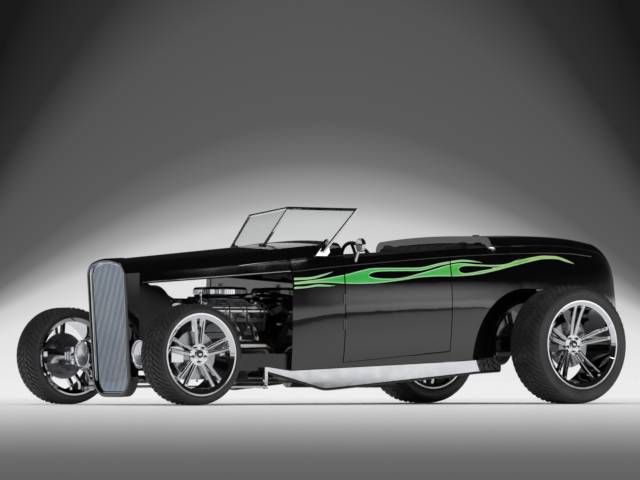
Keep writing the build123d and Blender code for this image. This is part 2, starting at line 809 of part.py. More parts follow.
with BuildPart() as radiator_shell:
    with BuildSketch(NOSE):
        with BuildLine():
            shell_outline(0.0)
        make_face()
    extrude(amount=-SHELL_DEPTH)
    fillet(radiator_shell.faces().sort_by(Axis.X)[-1].edges(), SHELL_ROUND)
    with BuildSketch(NOSE):
        with BuildLine():
            shell_outline(SHELL_WALL)
        make_face()
    extrude(amount=-SHELL_DEPTH, mode=Mode.SUBTRACT)
    add(block(SHELL_REAR, SHELL_REAR + SHELL_DEPTH, -BODY_REACH, BODY_REACH, 0.0, SKY), mode=Mode.SUBTRACT)
keep(radiator_shell.part, "radiator_shell")

GRILLE = NOSE.offset(-GRILLE_SET)
bar_length = SHELL_CROWN - SHELL_BOTTOM
bar_count = int(2 * SHELL_HALF / GRILLE_PITCH) // 2 * 2 + 1
with BuildPart() as grille_bars:
    with BuildSketch(GRILLE):
        with BuildLine():
            shell_outline(SHELL_WALL + GRILLE_BAND / 2)
        make_face()
    extrude(amount=-GRILLE_DEPTH)
    with BuildSketch(GRILLE):
        with Locations((0, SHELL_BOTTOM + bar_length / 2)):
            with GridLocations(GRILLE_PITCH, 1, bar_count, 1):
                Rectangle(GRILLE_BAR, bar_length)
    extrude(amount=-GRILLE_DEPTH, mode=Mode.INTERSECT)
with BuildPart() as grille:
    with BuildSketch(GRILLE):
        with BuildLine():
            shell_outline(SHELL_WALL + RUNNING_FIT)
        make_face()
        with BuildLine():
            shell_outline(SHELL_WALL + GRILLE_BAND)
        make_face(mode=Mode.SUBTRACT)
    extrude(amount=-GRILLE_DEPTH)
    add(grille_bars.part)
keep(grille.part, "grille")
core_half = SHELL_LOW_HALF - SHELL_WALL - LINING_FIT
radiator = block(RADIATOR_FRONT, SHELL_REAR, -core_half, core_half, RADIATOR_LOW, RADIATOR_TOP)
keep(radiator, "radiator")

# Frame: two rails that kick up over the rear axle, their crossmembers and bright side covers
RailPoint = namedtuple("RailPoint", "station y")
body_stations = (COWL_FRONT, DOOR_FRONT, DOOR_REAR)
rail_outer = (
    RailPoint(SHELL_REAR, RAIL_NOSE_Y),
    RailPoint(COVER_FRONT, RAIL_WAIST_Y),
    *[RailPoint(station, body_at(station, "bottom_y") - WALL - RAIL_GAP) for station in body_stations],
    RailPoint(RAIL_TUCK, TUB_Y - TUB_WALL - RAIL_GAP),
    RailPoint(RAIL_END, RAIL_END_Y),
)
rail_inner = [RailPoint(point.station, point.y - RAIL_WALL) for point in reversed(rail_outer)]
rail_profile = (
    (SHELL_REAR, RAIL_TOP),
    (KICK_FRONT, RAIL_TOP),
    (KICK_BACK, KICK_TOP),
    (KICK_REAR, KICK_TOP),
    (RAIL_END, RAIL_END_Z + RAIL_TOP - RAIL_LOW),
    (RAIL_END, RAIL_END_Z),
    (KICK_REAR, KICK_LOW),
    (KICK_BACK + KICK_LEAD, KICK_LOW),
    (KICK_FRONT + KICK_LEAD, RAIL_LOW),
    (RAIL_NOSE_RISE, RAIL_LOW),
    (RAIL_NOSE_END, RAIL_NOSE_LOW),
    (SHELL_REAR, RAIL_NOSE_LOW),
)
with BuildPart() as rail:
    add(side_prism(rail_profile, 0.0, BODY_REACH))
    add(plan_prism([*rail_outer, *rail_inner], 0.0, SKY), mode=Mode.INTERSECT)
cover_stations = (COWL_FRONT, DOOR_FRONT, DOOR_REAR, COVER_END)
cover_outer = [
    RailPoint(COVER_FRONT, RAIL_WAIST_Y + COVER_WALL),
    *[RailPoint(station, body_at(station, "bottom_y") - COVER_INSET) for station in cover_stations],
]
cover_inner = [
    RailPoint(COVER_END, rail_outer[4].y),
    *[point for point in reversed(rail_outer) if COVER_FRONT <= point.station <= DOOR_REAR],
]
cover_top = [(station, body_at(station, "bottom_z") - SEAM) for station in reversed(cover_stations)]
cover_profile = (
    *cover_top,
    (COVER_FRONT, RAIL_LOW + COVER_TIP),
    (COVER_FRONT, RAIL_LOW - COVER_TIP / 2),
    (COVER_DIP, COVER_DIP_Z),
    (COVER_RISE, RAIL_LOW - COVER_TIP / 2),
    (COVER_END, RAIL_LOW),
)
with BuildPart() as rail_cover:
    with BuildSketch(SIDE):
        with BuildLine():
            Polyline(*cover_profile, close=True)
        face = make_face()
        fillet(face.vertices().sort_by(Axis.Y)[0], COVER_BEND)
    extrude(amount=BODY_REACH)
    add(plan_prism([*cover_outer, *cover_inner], 0.0, SKY), mode=Mode.INTERSECT)
keep(both_sides(rail_cover.part), "rail_covers")

gearbox_z = CRANK_Z + GEARBOX_RISE
Member = namedtuple("Member", "fore aft low high half")
MEMBERS = (
    Member(SHELL_REAR, SPRING_SEAT, SPRING_Z, RAIL_TOP, 200.0),
    Member(GEARBOX_SEAT, GEARBOX_SEAT + MEMBER_WALL, RAIL_LOW, gearbox_z - GEARBOX_RADIUS, 425.0),
    Member(SEAT_MEMBER, SEAT_MEMBER + MEMBER_WALL, RAIL_LOW, RAIL_TOP - 3 * SEAM, 460.0),
    Member(COIL_STATION - MEMBER_WALL / 2, COIL_STATION + MEMBER_WALL / 2, COIL_TOP, KICK_TOP, 375.0),
    Member(RAIL_END - MEMBER_WALL, RAIL_END, RAIL_END_Z, RAIL_END_Z + MEMBER_WALL, 337.0),
)
with BuildPart() as chassis:
    add(both_sides(rail.part))
    for member in MEMBERS:
        add(block(member.fore, member.aft, -member.half, member.half, member.low, member.high))
keep(chassis.part, "frame")

# Floor with its tunnel, bulkhead and boot floor, cut to the body's lining
firewall_rear = COWL_FRONT + FIREWALL_SET + FIREWALL_WALL
with BuildPart() as lining:
    add(skin(COWL_FRONT, cowl_rear, WALL + LINING_FIT, 2 * BREAKOUT, 2))
    add(skin(cowl_rear, rear_front, WALL + LINING_FIT, 2 * BREAKOUT, 2))
    add(rear_form(WALL + LINING_FIT, 2 * BREAKOUT))
    well_wall = TUB_Y - TUB_WALL - LINING_FIT
    wells = arch_prism(ARCH_LIP + LINING_FIT, well_wall, BODY_REACH)
    add(both_sides(wells), mode=Mode.SUBTRACT)


def floor_outline(grow):
    """Floor and tunnel in cross section, raised by a wall."""
    foot = TUNNEL_HALF + grow
    top = TUNNEL_HALF - TUNNEL_TAPER + grow
    level_z = RAIL_TOP + grow
    return (
        (BODY_REACH, level_z),
        (foot, level_z),
        (top, TUNNEL_TOP + grow),
        (-top, TUNNEL_TOP + grow),
        (-foot, level_z),
        (-BODY_REACH, level_z),
    )


with BuildPart() as floor:
    with BuildSketch(cross(firewall_rear)):
        with BuildLine():
            Polyline(*floor_outline(0.0), *reversed(floor_outline(FLOOR_WALL)), close=True)
        make_face()
    extrude(amount=firewall_rear - BULKHEAD - FLOOR_WALL)
    add(block(BULKHEAD, BULKHEAD + FLOOR_WALL, -BODY_REACH, BODY_REACH, TUNNEL_TOP, SKY))
    for way in (-1, 1):
        edge = sorted((way * BODY_REACH, way * (TUNNEL_HALF + FLOOR_WALL)))
        add(block(BULKHEAD, BULKHEAD + FLOOR_WALL, *edge, RAIL_TOP, TUNNEL_TOP + FLOOR_WALL))
    add(block(BULKHEAD, TAIL, -BODY_REACH, BODY_REACH, KICK_TOP, KICK_TOP + FLOOR_WALL))
    add(lining.part, mode=Mode.INTERSECT)
    add(both_sides(tail_lamp.part), mode=Mode.SUBTRACT)
keep(floor.part, "floor")

column_slope = Vector(-1, 0, COLUMN_RISE).normalized()
wheel_centre = at(STEERING_WHEEL, DRIVER_Y, STEERING_WHEEL_Z)
column_run = (STEERING_WHEEL - COLUMN_FRONT) / -column_slope.X
column_foot = wheel_centre - column_slope * column_run
with BuildPart() as firewall:
    front_station = COWL_FRONT + FIREWALL_SET
    with BuildSketch(cross(front_station)):
        with BuildLine():
            body_section(body_row(front_station), WALL + LINING_FIT, 0.0)
        make_face()
    extrude(amount=-FIREWALL_WALL)
    add(block(0.0, TAIL, -BODY_REACH, BODY_REACH, 0.0, RAIL_TOP), mode=Mode.SUBTRACT)
    tunnel = floor_outline(0.0)[1:5]
    with BuildSketch(cross(front_station)):
        with BuildLine():
            Polyline(*tunnel, close=True)
        make_face()
    extrude(amount=-FIREWALL_WALL, mode=Mode.SUBTRACT)
    add(tube((column_foot, wheel_centre), COLUMN_RADIUS + RUNNING_FIT), mode=Mode.SUBTRACT)
keep(firewall.part, "firewall")
keep(tube((column_foot, wheel_centre), COLUMN_RADIUS), "steering_column")

with BuildPart() as dashboard:
    with BuildSketch(cross(DASH_STATION)):
        with BuildLine():
            body_section(body_row(DASH_STATION), WALL + 2 * LINING_FIT, 0.0)
        make_face()
    extrude(amount=-DASH_WALL)
    add(block(0.0, TAIL, -BODY_REACH, BODY_REACH, 0.0, DASH_LOW), mode=Mode.SUBTRACT)
keep(dashboard.part, "dashboard")

HUB_PLANE = Plane(origin=wheel_centre, x_dir=(0, 1, 0), z_dir=column_slope)
with BuildPart() as steering_wheel:
    with BuildSketch(HUB_PLANE.offset(RUNNING_FIT)):
        Circle(WHEEL_HUB)
    extrude(amount=WHEEL_HUB_DEPTH)
    with BuildSketch(HUB_PLANE.offset(WHEEL_HUB_DEPTH / 2)):
        with PolarLocations(WHEEL_RIM / 2, WHEEL_SPOKES, start_angle=-90):
            Rectangle(WHEEL_RIM, WHEEL_SPOKE)
    extrude(amount=WHEEL_SPOKE_WALL)
    rim_plane = HUB_PLANE.offset(WHEEL_HUB_DEPTH / 2)
    with BuildSketch(Plane(origin=rim_plane.origin, x_dir=rim_plane.x_dir, z_dir=rim_plane.y_dir)):
        with Locations((WHEEL_RIM, 0)):
            Circle(WHEEL_GRIP)
    revolve(axis=Axis(wheel_centre, column_slope))
keep(steering_wheel.part, "steering_wheel")

seat_base = TUNNEL_TOP + FLOOR_WALL + RUNNING_FIT
with BuildPart() as seat_cushion:
    add(block(SEAT_FRONT, SEAT_BACK, -SEAT_HALF, SEAT_HALF, seat_base, SEAT_TOP))
    fillet(seat_cushion.edges().filter_by(Axis.Y).group_by(Axis.Z)[-1], SEAT_ROUND)
keep(seat_cushion.part, "seat_cushion")
back_outline = (
    (SEAT_BACK - SEAT_BACK_WALL, SEAT_TOP + RUNNING_FIT),
    (SEAT_BACK, SEAT_TOP + RUNNING_FIT),
    (BULKHEAD - RUNNING_FIT, SEAT_BACK_TOP - 4 * SEAT_ROUND),
    (COCKPIT_REAR - 3 * SEAM, SEAT_BACK_TOP - 2 * SEAT_ROUND),
    (COCKPIT_REAR - 3 * SEAM, SEAT_BACK_TOP),
    (COCKPIT_REAR - SEAT_BACK_HEAD, SEAT_BACK_TOP),
)
keep(side_prism(back_outline, -SEAT_BACK_HALF, SEAT_BACK_HALF), "seat_back")

# Engine: a V8 in the open bay, with its covers, intake, headers and belt drive
engine_rear = ENGINE_FRONT + ENGINE_LENGTH
lean = sqrt(0.5)
crankcase = (
    (-CASE_FOOT, PAN_LOW + PAN_STEP),
    (CASE_FOOT, PAN_LOW + PAN_STEP),
    (CASE_WAIST, CRANK_Z),
    (0.0, CRANK_Z + CASE_RISE),
    (-CASE_WAIST, CRANK_Z),
)
with BuildPart() as engine_block:
    with BuildSketch(cross(ENGINE_FRONT)):
        with BuildLine():
            Polyline(*crankcase, close=True)
        make_face()
        for way in (-1, 1):
            with Locations((way * HEAD_REACH * lean / 2, CRANK_Z + HEAD_REACH * lean / 2)):
                Rectangle(2 * BANK_HALF, HEAD_REACH, rotation=-way * BANK_ANGLE)
    extrude(amount=-ENGINE_LENGTH)
    add(block(ENGINE_FRONT + PAN_STEP, engine_rear, -PAN_HALF, PAN_HALF, PAN_LOW, CRANK_Z))
keep(engine_block.part, "engine_block")

cover_mid = (HEAD_REACH + COVER_REACH) / 2 * lean
with BuildPart() as valve_cover:
    with BuildSketch(cross(ENGINE_FRONT + SEAM)):
        with Locations((cover_mid, CRANK_Z + cover_mid)):
            Rectangle(COVER_WIDTH, COVER_REACH - HEAD_REACH, rotation=-BANK_ANGLE)
    extrude(amount=2 * SEAM - ENGINE_LENGTH)
    fillet(valve_cover.faces().sort_by(Axis((0, 0, 0), (0, 1, 1)))[-1].edges(), COVER_ROUND)
keep(both_sides(valve_cover.part), "valve_covers")

valley = (
    (-VALLEY_HALF, VALLEY_LOW),
    (VALLEY_HALF, VALLEY_LOW),
    (INTAKE_SHOULDER, INTAKE_TOP - INTAKE_DROP),
    (INTAKE_HALF, INTAKE_TOP),
    (-INTAKE_HALF, INTAKE_TOP),
    (-INTAKE_SHOULDER, INTAKE_TOP - INTAKE_DROP),
)
carb_height = AIR_CLEANER_Z - INTAKE_TOP
with BuildPart() as intake:
    with BuildSketch(cross(INTAKE_FRONT)):
        with BuildLine():
            Polyline(*valley, close=True)
        make_face()
    extrude(amount=INTAKE_FRONT - INTAKE_REAR)
    add(bar(at(AIR_CLEANER_STATION, 0, INTAKE_TOP + carb_height / 2), (0, 0, 1), CARB_RADIUS, carb_height))
    add(engine_block.part, mode=Mode.SUBTRACT)
    add(both_sides(valve_cover.part), mode=Mode.SUBTRACT)
keep(intake.part, "intake")
with BuildPart() as air_cleaner:
    middle = at(AIR_CLEANER_STATION, 0, AIR_CLEANER_Z + AIR_CLEANER_WALL / 2)
    add(bar(middle, (0, 0, 1), AIR_CLEANER_RADIUS, AIR_CLEANER_WALL))
    fillet(air_cleaner.edges().filter_by(GeomType.CIRCLE), COVER_ROUND)
keep(air_cleaner.part, "air_cleaner")

elbow = at(engine_rear, COLLECTOR_Y, COLLECTOR_Z)
outlet = at(engine_rear + OUTLET_BACK, COLLECTOR_Y - OUTLET_IN, COLLECTOR_Z - OUTLET_DROP)
with BuildPart() as header:
    collector_front = at(PORT_FRONT - 2 * HEADER_RADIUS, COLLECTOR_Y, COLLECTOR_Z)
    add(tube((collector_front, elbow, outlet), COLLECTOR_RADIUS, 2 * COLLECTOR_RADIUS))
    for index in range(PORT_COUNT):
        port = PORT_FRONT + index * PORT_PITCH
        run = (at(port, PORT_Y, PORT_Z), at(port, COLLECTOR_Y, PORT_Z - COLLECTOR_Y + PORT_Y))
        add(tube((*run, at(port, COLLECTOR_Y, COLLECTOR_Z)), HEADER_RADIUS, HEADER_BEND))
    add(engine_block.part, mode=Mode.SUBTRACT)
keep(both_sides(header.part), "headers")
with BuildPart() as exhaust:
    pipe_run = (
        elbow + (outlet - elbow) * OUTLET_SHARE,
        at(engine_rear + DOWNPIPE, EXHAUST_Y, EXHAUST_Z),
        at(EXHAUST_END, EXHAUST_Y, EXHAUST_Z),
    )
    add(tube(pipe_run, EXHAUST_RADIUS, 2 * EXHAUST_RADIUS))
    add(bar(at(MUFFLER_STATION, EXHAUST_Y, EXHAUST_Z), (1, 0, 0), MUFFLER_RADIUS, MUFFLER_LENGTH))
    add(header.part, mode=Mode.SUBTRACT)
keep(both_sides(exhaust.part), "exhaust")

pulley_middle = ENGINE_FRONT - PULLEY_DEPTH / 2
alternator_y = -HEAD_REACH * lean * ALTERNATOR_SHARE
alternator = at(ENGINE_FRONT - ALTERNATOR_DEPTH / 2, alternator_y, CRANK_Z - alternator_y)
with BuildPart() as accessory_drive:
    add(bar(at(pulley_middle, 0, CRANK_Z), (1, 0, 0), CRANK_PULLEY, PULLEY_DEPTH))
    add(bar(at(pulley_middle, 0, CRANK_Z + PUMP_RISE), (1, 0, 0), PUMP_PULLEY, PULLEY_DEPTH))
    add(bar(alternator, (1, 0, 0), ALTERNATOR_RADIUS, ALTERNATOR_DEPTH))
keep(accessory_drive.part, "accessory_drive")

gearbox_profile = (
    (0.0, 0.0),
    (0.0, BELL_RADIUS),
    (BELL_FLANGE, BELL_RADIUS),
    (BELL_END, GEARBOX_RADIUS),
    (GEARBOX_END, GEARBOX_RADIUS),
    (TAILSHAFT_START, TAILSHAFT_RADIUS),
    (TAILSHAFT_END, TAILSHAFT_RADIUS),
    (TAILSHAFT_END, 0.0),
)
gearbox = turned(at(engine_rear, 0, gearbox_z), (-1, 0, 0), gearbox_profile)
with BuildPart() as driveline:
    add(gearbox)
    nose = at(REAR.station - DIFF_RADIUS, 0, REAR.tyre_radius)
    add(tube((at(engine_rear + TAILSHAFT_END - SHAFT_RADIUS, 0, gearbox_z), nose), SHAFT_RADIUS))
    add(block(REAR.station - DIFF_RADIUS, TAIL, -DIFF_RADIUS, DIFF_RADIUS, 0.0, SKY), mode=Mode.SUBTRACT)
keep(driveline.part, "driveline")


# Wheels, tyres and discs, each drawn on the left and mirrored
def wheel_half(axle):
    """Half the rim's width over its lips."""
    return axle.tyre_width / 2 - FLANGE / 2


def wheel_plane(axle):
    """Half-section plane through the left hub, local (outward, up)."""
    return Plane(origin=at(axle.station, axle.track_y, axle.tyre_radius), x_dir=(0, 1, 0), z_dir=(1, 0, 0))


def tyre(axle):
    """Tyre seated on the rim's beads, with sloping sidewalls and bevelled shoulders."""
    half = (
        (wheel_half(axle) - FLANGE - RUNNING_FIT, axle.bead_radius),
        (axle.tyre_width / 2, axle.tyre_radius - axle.shoulder),
        (axle.tread_half, axle.tyre_radius),
    )
    other_half = [(-across, radius) for across, radius in reversed(half)]
    outline = dict.fromkeys((*half, *other_half))
    with BuildPart() as piece:
        with BuildSketch(wheel_plane(axle)):
            with BuildLine():
                Polyline(*outline, close=True)
            make_face()
        revolve(axis=Axis(at(axle.station, axle.track_y, axle.tyre_radius), (0, 1, 0)))
    return piece.part


def rim(axle):
    """Dished wheel: barrel with lips, five paired spokes, hub and centre cap."""
    half = wheel_half(axle)
    face = half - axle.dish
    inner = axle.bead_radius - BARREL_WALL
    hub = at(axle.station, axle.track_y, axle.tyre_radius)
    spin = Axis(hub, (0, 1, 0))
    barrel = (
        (-half, axle.lip_radius),
        (FLANGE / 2 - half, axle.lip_radius),
        (FLANGE - half, axle.bead_radius),
        (half - FLANGE, axle.bead_radius),
        (half - FLANGE / 2, axle.lip_radius),
        (half, axle.lip_radius),
        (half, axle.lip_radius - BARREL_WALL),
        (half - 1.5 * FLANGE, inner),
        (1.5 * FLANGE - half, inner),
        (-half, axle.lip_radius - BARREL_WALL),
    )
    front_root = (face, HUB_RADIUS - FLANGE)
    front_tip = (half - 2 * FLANGE, inner + BARREL_WALL / 2)
    front_mid = ((face * 0.62 + front_tip[0] * 0.38), (front_root[1] + front_tip[1]) / 2)
    back_root = (front_root[0] - SPOKE_DEPTH, front_root[1])
    back_mid = (front_mid[0] - SPOKE_DEPTH, front_mid[1])
    back_tip = (front_tip[0] - SPOKE_DEPTH, front_tip[1])
    with BuildPart() as band:
        with BuildSketch(wheel_plane(axle)):
            with BuildLine():
                ThreePointArc(front_root, front_mid, front_tip)
                Line(front_tip, back_tip)
                ThreePointArc(back_tip, back_mid, back_root)
                Line(back_root, front_root)
            make_face()
        revolve(axis=spin)
    with BuildPart() as spokes:
        upright = Plane(origin=hub, x_dir=(-1, 0, 0), z_dir=(0, 1, 0))
        with BuildSketch(upright):
            for way in (-1, 1):
                rib = (
                    (HUB_RADIUS - 2 * FLANGE, way * RIB_SPREAD_HUB - RIB_WIDTH / 2),
                    (axle.lip_radius, way * RIB_SPREAD_RIM - RIB_WIDTH / 2),
                    (axle.lip_radius, way * RIB_SPREAD_RIM + RIB_WIDTH / 2),
                    (HUB_RADIUS - 2 * FLANGE, way * RIB_SPREAD_HUB + RIB_WIDTH / 2),
                )
                with PolarLocations(0, SPOKE_COUNT, start_angle=90):
                    Polygon(*rib, align=None)
        extrude(amount=axle.tyre_width, both=True)
        add(band.part, mode=Mode.INTERSECT)
    hub_profile = (
        (face - HUB_LENGTH, 0.0),
        (face - HUB_LENGTH, HUB_RADIUS),
        (face, HUB_RADIUS),
        (face, CAP_RADIUS),
        (face + CAP_PROUD, CAP_RADIUS - BREAKOUT),
        (face + CAP_PROUD, 0.0),
    )
    with BuildPart() as piece:
        with BuildSketch(wheel_plane(axle)):
            with BuildLine():
                Polyline(*barrel, close=True)
            make_face()
            with BuildLine():
                Polyline(*hub_profile, close=True)
            make_face()
        revolve(axis=spin)
        add(spokes.part)
        bore_from = hub + Vector(0, face - HUB_LENGTH, 0)
        add(bar(bore_from, (0, 1, 0), SPINDLE_RADIUS + RUNNING_FIT, 1.6 * HUB_LENGTH), mode=Mode.SUBTRACT)
    return piece.part


def disc_face(axle):
    """Place across the car where the left brake disc meets its hub."""
    return axle.track_y + wheel_half(axle) - axle.dish - HUB_LENGTH


def brake_disc(axle):
    """Brake disc bolted to the hub's inner face."""
    with BuildPart() as piece:
        middle = at(axle.station, disc_face(axle) - DISC_WALL / 2, axle.tyre_radius)
        add(bar(middle, (0, 1, 0), DISC_RADIUS, DISC_WALL))
        add(bar(middle, (0, 1, 0), SPINDLE_RADIUS + FLANGE / 2, 2 * DISC_WALL), mode=Mode.SUBTRACT)
    return piece.part


def caliper(axle, inboard_y):
    """Caliper ahead of the hub, slotted for the disc and carried from inboard."""
    fore = axle.station - CALIPER_FAR
    near = axle.station - CALIPER_NEAR
    low = axle.tyre_radius - CALIPER_HALF
    high = axle.tyre_radius + CALIPER_HALF
    outer = disc_face(axle) + CALIPER_FIT
    with BuildPart() as piece:
        add(block(fore, near, inboard_y, outer + CALIPER_LIP, low, high))
        bracket = (inboard_y, inboard_y + BRACKET_WALL, low + CALIPER_HALF / 2, high - CALIPER_HALF / 2)
        add(block(near, axle.station, *bracket))
        slot_fore = axle.station - DISC_RADIUS - CALIPER_FIT
        add(block(slot_fore, near, outer - DISC_WALL - 2 * CALIPER_FIT, outer, low, high), mode=Mode.SUBTRACT)
    return piece.part


for axle in (FRONT, REAR):
    keep_pair(tyre(axle), f"tyre_{axle.name}")
    keep_pair(rim(axle), f"wheel_{axle.name}")
    keep_pair(brake_disc(axle), f"brake_disc_{axle.name}")

# Front axle: dropped tube with kingpin eyes and brackets for the radius rods
hub_z = FRONT.tyre_radius
with BuildPart() as front_axle:
    axle_bends = ((KINGPIN_Y, hub_z), (AXLE_RISE_Y, hub_z), (AXLE_DROP_Y, AXLE_DROP_Z))
    axle_run = [at(0, y, z) for y, z in axle_bends]
    axle_back = [Vector(point.X, -point.Y, point.Z) for point in reversed(axle_run)]
    add(tube((*axle_run, *axle_back), AXLE_RADIUS, AXLE_BEND))
    for way in (-1, 1):
        eye = at(0, way * KINGPIN_Y, hub_z)
        add(bar(eye, (0, 0, 1), EYE_RADIUS, EYE_HEIGHT))
        add(bar(eye, (0, 0, 1), KINGPIN_RADIUS + RUNNING_FIT, 2 * EYE_HEIGHT), mode=Mode.SUBTRACT)
        edge = sorted((way * (ROD_Y - BRACKET_WALL / 2), way * (ROD_Y + BRACKET_WALL / 2)))
        add(block(-ROD_RADIUS * 2, ROD_RADIUS * 2, *edge, ROD_Z - 2 * ROD_RADIUS, AXLE_DROP_Z + AXLE_BEND))
keep(front_axle.part, "front_axle")

leaf_low = AXLE_DROP_Z + AXLE_RADIUS + 2 * RUNNING_FIT
leaf_high = leaf_low + LEAF_WALL
with BuildPart() as front_spring:
    with BuildSketch(cross(LEAF_WIDTH / -2)):
        with BuildLine():
            ThreePointArc((-LEAF_HALF, leaf_high), (0, SPRING_Z), (LEAF_HALF, leaf_high))
            Line((LEAF_HALF, leaf_high), (LEAF_HALF, leaf_low))
            ThreePointArc((LEAF_HALF, leaf_low), (0, SPRING_Z - LEAF_WALL), (-LEAF_HALF, leaf_low))
            Line((-LEAF_HALF, leaf_low), (-LEAF_HALF, leaf_high))
        make_face()
    extrude(amount=-LEAF_WIDTH)

with BuildPart() as radius_rod:
    add(tube((at(2 * ROD_RADIUS, ROD_Y, ROD_Z), at(ROD_END, ROD_END_Y, ROD_END_Z)), ROD_RADIUS))
    bracket_front = ROD_END - BRACKET_WALL
    bracket_top = RAIL_LOW + BRACKET_WALL
    hanger = (ROD_END_Y - BRACKET_WALL / 2, ROD_END_Y + BRACKET_WALL / 2, ROD_Z - ROD_RADIUS, bracket_top)
    add(block(bracket_front, ROD_END, *hanger))
    add(block(bracket_front, ROD_END, RAIL_WAIST_Y - RAIL_WALL, ROD_END_Y, RAIL_LOW, bracket_top))
    add(chassis.part, mode=Mode.SUBTRACT)
    add(front_axle.part, mode=Mode.SUBTRACT)

# Steering knuckles on the kingpins, joined by a track rod behind the axle
ball = at(ARM_LENGTH, KINGPIN_Y, TIE_ROD_Z)
lug_z = EYE_HEIGHT / 2 + RUNNING_FIT + YOKE_LUG / 2
with BuildPart() as knuckle:
    pin = at(0, KINGPIN_Y, hub_z)
    add(bar(pin, (0, 0, 1), KINGPIN_RADIUS, 2 * lug_z + YOKE_LUG))
    for way in (-1, 1):
        lug = at(0, KINGPIN_Y, hub_z + way * lug_z)
        add(bar(lug, (0, 0, 1), EYE_RADIUS, YOKE_LUG))
        lug_span = (lug.Z - YOKE_LUG / 2, lug.Z + YOKE_LUG / 2)
        add(block(-EYE_RADIUS, EYE_RADIUS, KINGPIN_Y, SPINE_Y + SPINE_WALL, *lug_span))
    spine_half = lug_z + YOKE_LUG / 2
    add(block(-EYE_RADIUS, EYE_RADIUS, SPINE_Y, SPINE_Y + SPINE_WALL, hub_z - spine_half, hub_z + spine_half))
    spindle_end = disc_face(FRONT) + HUB_LENGTH / 2
    spindle_length = spindle_end - SPINE_Y
    add(bar(at(0, SPINE_Y + spindle_length / 2, hub_z), (0, 1, 0), SPINDLE_RADIUS, spindle_length))
    add(caliper(FRONT, SPINE_Y))
    add(tube((at(0, KINGPIN_Y, hub_z - lug_z), ball), ARM_RADIUS))
    add(bar(ball, (0, 0, 1), BALL_RADIUS, 2 * ARM_RADIUS))
    add(bar(ball - Vector(0, 0, TIE_ROD_EYE), (0, 0, 1), BALL_PIN, 2 * TIE_ROD_EYE))
keep_pair(knuckle.part, "knuckle")
rod_z = TIE_ROD_Z - ARM_RADIUS - CALIPER_FIT / 2 - TIE_ROD_EYE / 2
with BuildPart() as tie_rod:
    add(tube((at(ARM_LENGTH, -KINGPIN_Y, rod_z), at(ARM_LENGTH, KINGPIN_Y, rod_z)), TIE_ROD_RADIUS))
    for way in (-1, 1):
        joint = at(ARM_LENGTH, way * KINGPIN_Y, rod_z)
        add(bar(joint, (0, 0, 1), BALL_RADIUS, TIE_ROD_EYE))
        add(bar(joint, (0, 0, 1), BALL_PIN + RUNNING_FIT, 2 * TIE_ROD_EYE), mode=Mode.SUBTRACT)
keep(tie_rod.part, "tie_rod")

# Rear axle, springs, links and tank
rear_z = REAR.tyre_radius
diff_profile = (
    (0.0, 0.0),
    (0.0, DIFF_COVER),
    (DIFF_BEVEL, DIFF_RADIUS),
    (DIFF_BEVEL + DIFF_DRUM, DIFF_RADIUS),
    (2 * DIFF_RADIUS, DIFF_NOSE),
    (2 * DIFF_RADIUS, 0.0),
)
with BuildPart() as rear_axle:
    add(bar(at(REAR.station, 0, rear_z), (0, 1, 0), HOUSING_RADIUS, 2 * HOUSING_REACH))
    add(bar(at(REAR.station, 0, rear_z), (0, 1, 0), SPINDLE_RADIUS, 2 * (disc_face(REAR) + HUB_LENGTH / 2)))
    add(turned(at(REAR.station + DIFF_RADIUS, 0, rear_z), (1, 0, 0), diff_profile))
    add(both_sides(caliper(REAR, HOUSING_REACH - BRACKET_WALL)))
    for way in (-1, 1):
        edge = sorted((way * (COIL_Y - BRACKET_WALL), way * (COIL_Y + BRACKET_WALL)))
        add(block(REAR.station, COIL_STATION + COIL_RADIUS, *edge, COIL_LOW - BRACKET_WALL, COIL_LOW))
keep(rear_axle.part, "rear_axle")
with BuildPart() as coilovers:
    for way in (-1, 1):
        coil_middle = at(COIL_STATION, way * COIL_Y, (COIL_LOW + COIL_TOP) / 2)
        add(bar(coil_middle, (0, 0, 1), COIL_RADIUS, COIL_TOP - COIL_LOW))
    add(rear_axle.part, mode=Mode.SUBTRACT)
with BuildPart() as springs:
    add(front_spring.part)
    add(coilovers.part)
keep(springs.part, "springs")
with BuildPart() as rear_link:
    link_rear = at(REAR.station, LINK_Y, rear_z - HOUSING_RADIUS / 2)
    add(tube((at(SEAT_MEMBER, LINK_Y, LINK_Z), link_rear), LINK_RADIUS))
    add(chassis.part, mode=Mode.SUBTRACT)
    add(rear_axle.part, mode=Mode.SUBTRACT)
    add(block(SEAT_MEMBER + MEMBER_WALL, REAR.station, 0.0, BODY_REACH, 0.0, SKY), mode=Mode.INTERSECT)
with BuildPart() as rods:
    add(both_sides(radius_rod.part))
    add(both_sides(rear_link.part))
keep(rods.part, "suspension_rods")
keep(block(TANK_FRONT, TANK_REAR, -TANK_HALF, TANK_HALF, TANK_LOW, KICK_TOP), "fuel_tank")

